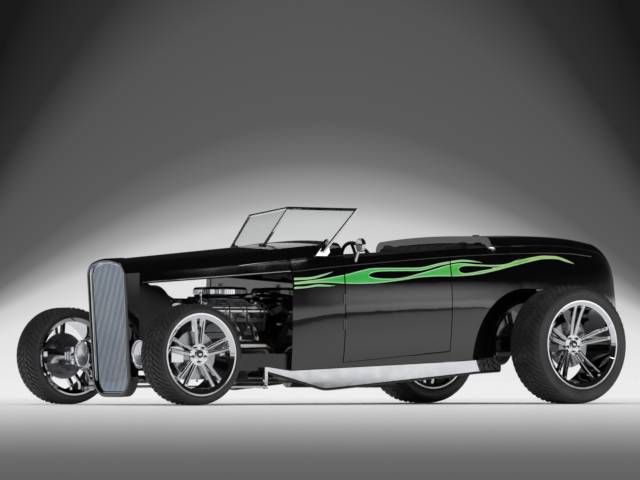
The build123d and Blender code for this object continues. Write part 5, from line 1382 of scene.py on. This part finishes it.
@dataclass
class EngineDress:
    """Ribs, caps, leads, belts, fan, hoses and fasteners of the open V8."""

    # Turned shapes are (along, radius) pairs in metres.
    COVER_CAP = ((0.0, 0.020), (0.016, 0.020), (0.018, 0.029), (0.032, 0.029), (0.036, 0.022), (0.037, 0.0))
    PLUG_BOOT = ((-0.004, 0.009), (0.012, 0.010), (0.030, 0.008), (0.036, 0.005))
    WING_NUT = ((0.0, 0.016), (0.006, 0.016), (0.008, 0.008), (0.020, 0.007), (0.021, 0.0))
    DISTRIBUTOR = ((0.0, 0.036), (0.030, 0.046), (0.034, 0.046), (0.042, 0.034), (0.043, 0.0))
    PUMP_SNOUT = ((0.0, 0.040), (0.036, 0.040), (0.040, 0.030), (0.042, 0.0))
    HOSE_CLAMP = ((0.0, 0.0205), (0.0, 0.0215), (0.010, 0.0215), (0.010, 0.0205))
    STARTER = ((-0.11, 0.0), (-0.11, 0.034), (0.08, 0.036), (0.10, 0.022), (0.11, 0.0))
    OIL_FILTER = ((-0.03, 0.040), (0.06, 0.040), (0.068, 0.030), (0.068, 0.0))
    DIPSTICK_RING = ((0.0, 0.007), (0.010, 0.007), (0.014, 0.012), (0.018, 0.007), (0.019, 0.0))
    # Routes are (station, y, height) marks in millimetres.
    DIPSTICK = ((330.0, 150.0, 250.0), (326.0, 205.0, 360.0), (318.0, 300.0, 520.0), (312.0, 316.0, 640.0))
    FUEL_LINE = ((300.0, 120.0, 600.0), (420.0, 168.0, 640.0), (560.0, 150.0, 640.0), (800.0, 190.0, 660.0),
                 (862.0, 200.0, 664.0))
    HEATER_HOSE = ((700.0, 110.0, 590.0), (780.0, 150.0, 610.0), (830.0, 240.0, 560.0), (862.0, 250.0, 540.0))
    FITTINGS = ((861.0, 250.0, 540.0), (861.0, 200.0, 664.0), (861.0, 320.0, 600.0), (861.0, 320.0, 480.0))
    THROTTLE_ROD = ((560.0, -58.0, 622.0), (620.0, -70.0, 622.0), (700.0, -70.0, 618.0))
    FUEL_BRANCH = ((560.0, 60.0, 622.0), (640.0, 74.0, 626.0), (720.0, 60.0, 620.0))
    UPPER_HOSE = ((352.0, -40.0, 604.0), (300.0, -60.0, 640.0), (180.0, -90.0, 690.0), (40.0, -110.0, 712.0))
    LOWER_HOSE = ((262.0, 92.0, 440.0), (215.0, 130.0, 400.0), (120.0, 140.0, 300.0), (10.0, 130.0, 262.0))
    crank: float = 315.0
    cover_top: float = 400.0
    front: float = 276.0
    rear: float = 784.0
    port_front: float = 345.0
    port_pitch: float = 122.0
    crank_pulley: float = 0.085
    pump_pulley: float = 0.071
    pump_rise: float = 0.168
    belt_off: float = 0.0035
    shroud_ring: float = 0.222

    def build(self, palette: Palette) -> None:
        """Make everything that dresses the engine.

        Args:
            palette: The finishes.
        """
        self.bright, self.dark, self.cast = MeshDraft(), MeshDraft(), MeshDraft()
        for _, way in SIDES:
            self.dress_bank(way)
        self.dress_top()
        self.dress_front()
        self.dress_side_lines()
        self.bright.build("engine_brightwork", palette, "bright_chrome", CHASSIS)
        self.dark.build("engine_leads_and_belts", palette, "moulded_black", CHASSIS)
        self.cast.build("engine_castings", palette, "polished_aluminium", CHASSIS)

    def on_bank(self, station: float, along: float, out: float, way: float) -> Vector:
        """Point over a bank: along its cover's width and out from the crank, in millimetres."""
        lean = math.sqrt(0.5)
        return at(station, way * (out * lean + along * lean), self.crank + out * lean - along * lean)

    def dress_bank(self, way: float) -> None:
        """Cover ribs, caps, bolts, plug leads and header flanges of one bank."""
        out = Vector((0.0, way, 1.0)).normalized()
        for rib in (-36.0, -18.0, 0.0, 18.0, 36.0):
            stations = [lerp(self.front + 34.0, self.rear - 34.0, step / 6) for step in range(7)]
            path = [self.on_bank(station, rib, self.cover_top + 1.0, way) for station in stations]
            self.bright.sweep(path, 0.0045, 8)
        for share in (0.14, 0.86):
            seat = self.on_bank(lerp(self.front, self.rear, share), 0.0, self.cover_top - 1.0, way)
            self.bright.lathe(placed(seat, out), self.COVER_CAP, 28)
        for index in range(6):
            station = lerp(self.front + 22.0, self.rear - 22.0, index / 5)
            for edge in (-58.0, 58.0):
                self.bright.hex_bolt(self.on_bank(station, edge * 0.93, 372.0, way), out, 0.0055)
        side = Vector((0.0, way, -1.0)).normalized()
        for index in range(4):
            port = self.port_front + index * self.port_pitch
            flange = placed(self.on_bank(port, 79.0, 252.0, way), side)
            self.cast.slab(flange, (0.030, 0.034, 0.004), 0.003)
            for hole in (-34.0, 34.0):
                self.bright.hex_bolt(self.on_bank(port + hole * 0.7, 82.5, 246.0, way), side, 0.006)
            plug = port + 40.0
            seat = self.on_bank(plug, 80.0, 300.0, way)
            self.dark.lathe(placed(seat, side), self.PLUG_BOOT, 16)
            start = seat + side * 0.034
            crown = self.on_bank(plug - 8.0, 62.0, 418.0, way)
            top = self.on_bank(plug - 16.0, 20.0, 426.0, way)
            lead = [start, start + side * 0.022 + out * 0.02, crown, top, at(700.0, way * 70.0, 612.0)]
            self.dark.sweep(arc_path(lead), 0.0042, 8)


    def dress_top(self) -> None:
        """Air cleaner's ring, nut and pleats, runners, distributor, throttle rod and fuel branch."""
        low, high = box_of("air_cleaner")
        middle = (low + high) / 2
        reach = (high.x - low.x) / 2
        top = placed(Vector((middle.x, 0.0, high.z)), UP)
        lid = ((-0.001, reach * 0.62), (0.003, reach * 0.58), (0.0035, reach * 0.30), (0.001, reach * 0.25))
        self.bright.lathe(top, lid, 64)
        self.bright.lathe(top, self.WING_NUT, 20)
        for wing in (-1.0, 1.0):
            spot = Vector((middle.x + wing * 0.014, 0.0, high.z + 0.018))
            self.bright.slab(placed(spot, UP), (0.010, 0.0025, 0.008), 0.002)
        pleat = reach + 0.0005
        for turn in full_turn(72):
            spot = Vector((middle.x + pleat * math.cos(turn), pleat * math.sin(turn), middle.z))
            self.cast.slab(placed(spot, UP), (0.002, 0.002, 0.013), 0.0008)
        for station in (400.0, 470.0, 540.0):
            for way in (-1.0, 1.0):
                runner = ((station, 44.0, 606.0), (station, 90.0, 604.0), (station, 128.0, 574.0))
                self.cast.sweep(arc_path(route(runner, way)), 0.017, 14)
        self.dark.lathe(placed(at(722.0, 0.0, 596.0), UP), self.DISTRIBUTOR, 28)
        self.bright.sweep(route(self.THROTTLE_ROD), 0.004, 8)
        self.bright.sweep(route(self.FUEL_BRANCH), 0.005, 10)

    def dress_front(self) -> None:
        """Pulleys' grooves, belts, fan, water pump snout, shroud and radiator hoses."""
        _, high = box_of("accessory_drive")
        crank = Vector((high.x - 0.034, 0.0, self.crank * MM))
        pump = crank + Vector((0.0, 0.0, self.pump_rise))
        for centre, radius in ((crank, self.crank_pulley), (pump, self.pump_pulley)):
            place = placed(centre + Vector((-0.022, 0.0, 0.0)), FORWARD)
            for shift in (0.006, 0.018, 0.030):
                self.bright.lathe(place, self.groove(shift, radius), 48)
            self.bright.hex_bolt(centre + Vector((0.022, 0.0, 0.0)), FORWARD, 0.016)
        for shift in (0.002, 0.014):
            loop = []
            for turn in full_turn(48):
                upper = math.sin(turn) > 0
                centre = pump if upper else crank
                radius = (self.pump_pulley if upper else self.crank_pulley) + self.belt_off
                spot = Vector((0.0, radius * math.cos(turn), centre.z + radius * math.sin(turn)))
                loop.append(spot + FORWARD * (crank.x - 0.014 + shift))
            self.dark.sweep(loop, 0.0045, 8, closed=True)
        self.bright.lathe(placed(pump + Vector((0.022, 0.0, 0.0)), FORWARD), self.PUMP_SNOUT, 32)
        fan = pump + Vector((0.060, 0.0, 0.0))
        twist = Matrix.Rotation(math.radians(28), 4, "Z")
        for turn in full_turn(6):
            blade = Matrix.Rotation(turn, 4, "X") @ Matrix.Translation((0.0, 0.0, 0.115)) @ twist
            self.bright.slab(Matrix.Translation(fan) @ blade, (0.0016, 0.034, 0.088), 0.0014)
        self.add_shroud(fan)
        radiator_x = box_of("radiator")[0].x
        for marks, end in ((self.UPPER_HOSE, (-0.110, 0.716)), (self.LOWER_HOSE, (0.130, 0.258))):
            hose = [*route(marks), Vector((radiator_x, *end))]
            self.dark.sweep(arc_path(hose), 0.019, 16)
            for tip, toward in ((hose[0], hose[1]), (hose[-1], hose[-2])):
                self.bright.lathe(placed(tip.lerp(toward, 0.25), toward - tip), self.HOSE_CLAMP, 28)

    @staticmethod
    def groove(shift: float, radius: float) -> Pairs:
        """Section of one belt groove at a place along a pulley."""
        return ((shift, radius), (shift + 0.001, radius + 0.004), (shift + 0.004, radius - 0.002),
                (shift + 0.008, radius + 0.004), (shift + 0.009, radius))

    def add_shroud(self, fan: Vector) -> None:
        """Shroud between the radiator and the fan, a box that narrows to a ring.

        Args:
            fan: The fan's centre.
        """
        low, high = box_of("radiator")
        # (x, 1 for the box or 0 for the ring, size)
        sections = ((low.x - 0.001, 1.0, 0.96), (low.x - 0.030, 1.0, 0.94), (fan.x + 0.012, 0.0, 1.0),
                    (fan.x - 0.030, 0.0, 1.0), (fan.x - 0.030, 0.0, 0.985))
        rows = []
        for x, square, share in sections:
            ring = self.shroud_ring * share
            row = []
            for step in range(48):
                turn = 2 * math.pi * (step + 0.5) / 48
                side, rise = math.cos(turn), math.sin(turn)
                edge = 1.0 / max(abs(side), abs(rise))
                box_y = high.y * share * side * edge
                box_z = lerp(low.z, high.z, 0.5 + 0.46 * share * rise * edge)
                y, z = lerp(ring * side, box_y, square), lerp(fan.z + ring * rise, box_z, square)
                row.append(Vector((x, y, z)))
            rows.append(row)
        self.dark.rings(rows)

    def dress_side_lines(self) -> None:
        """Starter on the right, filter, dipstick and fuel line on the left, hoses and bolts on both sides."""
        self.cast.lathe(placed(at(640.0, -150.0, 240.0), FORWARD), self.STARTER, 28)
        self.bright.lathe(placed(at(420.0, 165.0, 262.0), Vector((0.0, 1.0, -0.5))), self.OIL_FILTER, 28)
        tube = route(self.DIPSTICK)
        self.bright.sweep(arc_path(tube), 0.005, 10)
        self.bright.lathe(placed(tube[-1], UP), self.DIPSTICK_RING, 16)
        self.bright.sweep(arc_path(route(self.FUEL_LINE)), 0.006, 10)
        for way in (-1.0, 1.0):
            self.dark.sweep(arc_path(route(self.HEATER_HOSE, way)), 0.011, 12)
            for fitting in route(self.FITTINGS, way):
                self.bright.hex_bolt(fitting, FORWARD, 0.012)
            down = Vector((0.0, way, -0.6))
            for index in range(5):
                self.bright.hex_bolt(at(lerp(320.0, 770.0, index / 4), way * 112.0, 196.0), down, 0.007)


@dataclass
class ChassisDress:
    """Spring coils, clamps, rod ends and fasteners below the body."""

    coil_station: float = 2790.0
    coil_y: float = 275.0
    coil_low: float = 345.0
    coil_high: float = 492.0
    coil_radius: float = 35.0
    turns: float = 7.0

    def build(self, palette: Palette) -> None:
        """Make the chassis details.

        Args:
            palette: The finishes.
        """
        bright, dark = MeshDraft(), MeshDraft()
        for _, way in SIDES:
            self.add_coil(bright, way)
            self.add_rod_ends(bright, way)
            self.add_clamps(dark, bright, way)
        bright.build("chassis_brightwork", palette, "bright_chrome", CHASSIS)
        dark.build("spring_clamps", palette, "gloss_black_steel", CHASSIS)
        self.build_track_rod(palette)

    def add_coil(self, draft: MeshDraft, way: float) -> None:
        """Coil spring around a rear damper, with its two perches."""
        path = []
        steps = int(self.turns * 20)
        for index in range(steps + 1):
            turn = 2 * math.pi * self.turns * index / steps
            z = lerp(self.coil_low, self.coil_high, index / steps)
            x, y = self.coil_radius * math.cos(turn), self.coil_radius * math.sin(turn)
            path.append(at(self.coil_station + x, way * self.coil_y + y, z))
        draft.sweep(path, 0.0052, 8)
        for z in (self.coil_low - 6.0, self.coil_high + 1.0):
            place = placed(at(self.coil_station, way * self.coil_y, z), UP)
            draft.lathe(place, ((0.0, 0.028), (0.0, 0.041), (0.005, 0.041), (0.005, 0.028)), 36)

    @staticmethod
    def add_rod_ends(draft: MeshDraft, way: float) -> None:
        """Clevises, lock nuts and bolts at the ends of the radius rods."""
        for station, y, z, run in ((34.0, 405.6, 103.2, 1.0), (664.0, 430.6, 109.6, -1.0)):
            place = placed(at(station, way * y, z), FORWARD * -run)
            draft.lathe(place, ((0.0, 0.0125), (0.012, 0.0125), (0.013, 0.0115)), 6)
            draft.lathe(place, ((0.014, 0.0105), (0.030, 0.0105), (0.031, 0.009)), 20)
        for station, y, z in ((0.0, 405.0, 103.0), (690.0, 432.0, 110.0)):
            draft.hex_bolt(at(station, way * (y + 10.0), z), ACROSS * way, 0.010)

    @staticmethod
    def add_clamps(dark: MeshDraft, bright: MeshDraft, way: float) -> None:
        """Spring shackles at the leaf's ends and the clamp under the front crossmember."""
        dark.slab(placed(at(0.0, way * 334.0, 184.0), UP), (0.030, 0.009, 0.022), 0.003)
        bright.hex_bolt(at(-30.0, way * 334.0, 184.0), FORWARD, 0.008)
        bright.hex_bolt(at(30.0, way * 334.0, 184.0), FORWARD * -1.0, 0.008)
        bright.hex_bolt(at(-26.0, way * 36.0, 214.0), UP * -1.0, 0.009)
        bright.hex_bolt(at(26.0, way * 36.0, 214.0), UP * -1.0, 0.009)

    @staticmethod
    def build_track_rod(palette: Palette) -> None:
        """Lock nuts on the track rod, which move with it."""
        low, high = box_of("tie_rod")
        middle = (low + high) / 2
        draft = MeshDraft()
        for way in (-1.0, 1.0):
            place = placed(Vector((middle.x, way * (high.y - 0.060), middle.z)), ACROSS * -way)
            draft.lathe(place, ((0.0, 0.0115), (0.0, 0.0155), (0.014, 0.0155), (0.016, 0.0115)), 6)
            draft.lathe(place, ((0.018, 0.0112), (0.018, 0.0135), (0.048, 0.0135), (0.050, 0.0112)), 24)
        draft.build("track_rod_nuts", palette, "bright_chrome", "track_rod")


@dataclass
class Upholstery:
    """Bench seat in pleated hide, door cards, and padded rolls along the door tops."""

    voxel: float = 0.008
    swell: float = 0.022
    pleat: float = 0.105
    pleat_depth: float = 0.007

    def build(self, palette: Palette, surfaces: Surfaces) -> None:
        """Make the seat and the trim.

        Args:
            palette: The finishes.
            surfaces: Ray casts on the body.
        """
        self.build_cushion("seat_cushion", "bench_cushion", palette, 0.016)
        self.build_cushion("seat_back", "bench_back", palette, 0.016)
        for side, way in SIDES:
            self.build_door_card(side, way, palette, surfaces)
        self.build_door_rolls(palette, surfaces)

    def build_cushion(self, node: str, name: str, palette: Palette, shrink: float) -> None:
        """Inflate a copy of a seat's solid, then sew its pleats.

        Args:
            node: The solid's node.
            name: The piece's name.
            palette: The finishes.
            shrink: How much smaller the copy starts.
        """
        low, high = box_of(node)
        centre = (low + high) / 2
        size = high - low
        mesh = frame["nodes"][node].data.copy()
        piece = bpy.data.objects.new(name, mesh)
        bpy.context.scene.collection.objects.link(piece)
        for vertex in mesh.vertices:
            away = vertex.co - centre
            vertex.co = centre + Vector(away[axis] * (1 - 2 * shrink / size[axis]) for axis in range(3))
        bpy.context.view_layer.objects.active = piece
        remesh = piece.modifiers.new("remesh", "REMESH")
        remesh.mode = "VOXEL"
        remesh.voxel_size = self.voxel
        self.apply(piece)
        self.inflate(piece)
        self.sew(piece, low, high)
        smooth = piece.modifiers.new("rounding", "SUBSURF")
        smooth.levels = smooth.render_levels = 1
        self.apply(piece)
        piece.data.materials.clear()
        piece.data.materials.append(palette.materials["black_hide"])
        piece.data.shade_smooth()
        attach(piece, CHASSIS)
        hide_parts(node)
        LOG.info("%s: %d faces", name, len(piece.data.polygons))

    @staticmethod
    def apply(piece: bpy.types.Object) -> None:
        """Replace a piece's mesh by its evaluated one."""
        graph = bpy.context.evaluated_depsgraph_get()
        mesh = bpy.data.meshes.new_from_object(piece.evaluated_get(graph))
        piece.modifiers.clear()
        piece.data = mesh

    def inflate(self, piece: bpy.types.Object) -> None:
        """Swell a piece under air pressure for a few frames, with its movement capped."""
        start = [vertex.co.copy() for vertex in piece.data.vertices]
        cloth = piece.modifiers.new("pressure", "CLOTH")
        cloth.settings.use_pressure = True
        cloth.settings.uniform_pressure_force = 4.0
        cloth.settings.effector_weights.gravity = 0.0
        cloth.settings.tension_stiffness = 12.0
        cloth.settings.quality = 4
        cloth.point_cache.frame_start, cloth.point_cache.frame_end = 1, 20
        scene = bpy.context.scene
        for step in range(1, 21):
            scene.frame_set(step)
        self.apply(piece)
        scene.frame_set(1)
        for vertex, home in zip(piece.data.vertices, start):
            move = vertex.co - home
            if move.length > self.swell:
                vertex.co = home + move.normalized() * self.swell

    def sew(self, piece: bpy.types.Object, low: Vector, high: Vector) -> None:
        """Press pleats across the bench and keep the piece inside its solid's space."""
        count = max(1, round((high.y - low.y) / self.pleat))
        lean = (0.35, 0.0, 0.3) if "back" in piece.name else (0.15, 0.0, 1.0)
        press = Vector(lean).normalized()
        for vertex in piece.data.vertices:
            share = (vertex.co.y - low.y) / (high.y - low.y) * count
            crease = math.exp(-((share - round(share)) / 0.09) ** 2)
            inside = min(1.0, max(0.0, (vertex.co.z - low.z) / (high.z - low.z) - 0.15) * 4.0)
            edge = min(1.0, min(vertex.co.y - low.y, high.y - vertex.co.y) / 0.05)
            vertex.co -= press * self.pleat_depth * crease * inside * max(edge, 0.0)
            for axis in range(3):
                vertex.co[axis] = min(max(vertex.co[axis], low[axis] + 0.001), high[axis] - 0.001)

    def build_door_card(self, side: str, way: float, palette: Palette, surfaces: Surfaces) -> None:
        """Pleated panel on the inside of a door.

        Args:
            side: left or right.
            way: 1 on the left, -1 on the right.
            palette: The finishes.
            surfaces: Ray casts on the door.
        """
        node = f"door_{side}"
        rows = []
        for down in range(25):
            row = []
            for along in range(61):
                station = lerp(1205.0, 1880.0, along / 60)
                z = lerp(lerp(330.0, 372.0, along / 60), lerp(835.0, 895.0, along / 60), down / 24)
                spot = surfaces.hit(node, at(station, 0.0, z), ACROSS * way)
                if spot is None:
                    return
                swell = 0.005 + 0.004 * abs(math.sin(math.pi * 8 * along / 60))
                border = min(along, 60 - along, down * 2, (24 - down) * 2) / 2
                row.append(spot - ACROSS * way * swell * min(1.0, border))
            rows.append(row)
        draft = MeshDraft()
        draft.rings(rows, around=False)
        card = draft.build(f"door_card_{side}", palette, "black_hide", node)
        solid = card.modifiers.new("thickness", "SOLIDIFY")
        solid.thickness = 0.002
        solid.offset = 0.0

    def build_door_rolls(self, palette: Palette, surfaces: Surfaces) -> None:
        """Padded hide roll along the top of each door."""
        for side, way in SIDES:
            path = []
            for index in range(31):
                station = lerp(1192.0, 1893.0, index / 30)
                outer = surfaces.from_side(f"door_{side}", station, lerp(850.0, 912.0, index / 30), way)
                if outer is None:
                    continue
                top = surfaces.hit(f"door_{side}", Vector((outer.x, outer.y - way * 0.030, 1.4)), UP * -1.0)
                if top is not None:
                    path.append(top + Vector((0.0, 0.0, 0.006)))
            draft = MeshDraft()
            draft.sweep(path, 0.016, 14, flat=0.8)
            roll = draft.build(f"door_roll_{side}", palette, "black_hide", f"door_{side}")


@dataclass
class CabinDress:
    """Dials, pedals, shifter and steering wheel trim."""

    # Dials are (y, radius).
    DIALS = ((395.0, 0.046), (265.0, 0.046), (120.0, 0.029), (45.0, 0.029), (-30.0, 0.029), (-105.0, 0.029))
    KNOB = ((-0.020, 0.010), (-0.012, 0.021), (0.0, 0.025), (0.012, 0.021), (0.021, 0.010), (0.0235, 0.0))
    GAITER = ((0.0, 0.075), (0.006, 0.074), (0.016, 0.050), (0.045, 0.022), (0.062, 0.012))
    HORN = ((0.0, 0.029), (0.004, 0.028), (0.007, 0.020), (0.009, 0.0))
    RIVET = ((0.0, 0.006), (0.0012, 0.0055), (0.002, 0.0))
    LEVER = ((1500.0, 0.0, 486.0), (1505.0, 0.0, 560.0), (1470.0, 10.0, 640.0), (1420.0, 20.0, 720.0))
    dash_station: float = 1135.6
    dial_z: float = 836.0

    def build(self, palette: Palette) -> None:
        """Make the cabin's fittings.

        Args:
            palette: The finishes.
        """
        self.build_dials(palette)
        self.build_controls(palette)
        self.build_wheel_trim(palette)

    def build_dials(self, palette: Palette) -> None:
        """Bezels, faces, ticks and needles of the dash's round dials."""
        bright, faces, ink = MeshDraft(), MeshDraft(), MeshDraft()
        back = FORWARD * -1.0

        def away_at(degrees: float) -> Vector:
            """Direction on a dial's face, from straight up."""
            turn = math.radians(degrees)
            return Vector((0.0, -math.sin(turn), math.cos(turn)))

        for y, radius in self.DIALS:
            centre = at(self.dash_station, y, self.dial_z)
            place = placed(centre, back)
            bezel = ((-0.001, radius + 0.005), (0.006, radius + 0.004), (0.008, radius),
                     (0.002, radius - 0.002))
            bright.lathe(place, bezel, 48)
            faces.lathe(place, ((0.0015, radius - 0.001), (0.0018, radius * 0.5), (0.0018, 0.0)), 40)
            for tick in range(11):
                away = away_at(-130 + 26 * tick)
                spot = centre + back * 0.0024 + away * radius * 0.82
                ink.slab(placed(spot, away), (0.0008, 0.0006, radius * 0.08), 0.0003)
            away = away_at(-70.0)
            spot = centre + back * 0.0036 + away * radius * 0.32
            ink.slab(placed(spot, away), (0.0011, 0.0006, radius * 0.40), 0.0003)
            ink.lathe(placed(centre + back * 0.002, back), ((0.0, 0.005), (0.003, 0.004), (0.0035, 0.0)), 16)
        bright.build("dial_bezels", palette, "bright_chrome", CHASSIS)
        faces.build("dial_faces", palette, "dial_face", CHASSIS)
        ink.build("dial_marks", palette, "dial_ink", CHASSIS)

    def build_controls(self, palette: Palette) -> None:
        """Pedals hung from the firewall and a bent shifter on the tunnel."""
        bright, dark = MeshDraft(), MeshDraft()
        tilt = Vector((-1.0, 0.0, 0.55)).normalized()
        for y, wide in ((250.0, 0.026), (345.0, 0.040), (425.0, 0.026)):
            arm = route(((882.0, y, 620.0), (930.0, y, 600.0), (985.0, y, 500.0), (1010.0, y, 440.0)))
            bright.sweep(arc_path(arm), 0.007, 10)
            dark.slab(placed(arm[-1] + tilt * 0.008, tilt), (0.036, wide, 0.006), 0.003)
        lever = route(self.LEVER)
        bright.sweep(arc_path(lever), 0.008, 12)
        dark.lathe(placed(lever[-1], UP), self.KNOB, 28)
        dark.lathe(placed(lever[0], UP), self.GAITER, 28)
        bright.build("pedal_arms_and_shifter", palette, "bright_chrome", CHASSIS)
        dark.build("pedal_pads_and_knob", palette, "moulded_black", CHASSIS)

    def build_wheel_trim(self, palette: Palette) -> None:
        """Horn button and spoke rivets that turn with the steering wheel."""
        joint = JOINTS["steering_wheel_turn"]
        hub, axis = Vector(joint["pos_m"]), Vector(joint["axis"]).normalized()
        draft = MeshDraft()
        draft.lathe(placed(hub + axis * 0.0303, axis), self.HORN, 36)
        for spoke in range(3):
            turn = math.radians(-90 + 120 * spoke)
            away = ACROSS * math.cos(turn) + axis.cross(ACROSS) * math.sin(turn)
            for reach in (0.055, 0.085, 0.115):
                draft.lathe(placed(hub + axis * 0.021 + away * reach, axis), self.RIVET, 18)
        draft.build("horn_button_and_rivets", palette, "bright_chrome", "steering_wheel")


def main() -> None:
    """Build the studio, the finishes and every sub-assembly in order."""
    logging.basicConfig(level=logging.INFO)
    bpy.context.scene.view_settings.view_transform = "Standard"
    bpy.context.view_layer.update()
    palette = Palette()
    surfaces = Surfaces()
    Studio().build(surfaces)
    FrameDresser().dress(palette)
    for side, _ in SIDES:
        for end, pitches in (("front", 52), ("rear", 56)):
            Tyre(end, side, pitches).build(palette)
            WheelTrim(end, side).build(palette, surfaces)
    FlamePaint().build(palette, surfaces)
    BodyTrim().build(palette, surfaces)
    EngineDress().build(palette)
    ChassisDress().build(palette)
    Upholstery().build(palette, surfaces)
    CabinDress().build(palette)


if __name__ == "__main__":
    main()
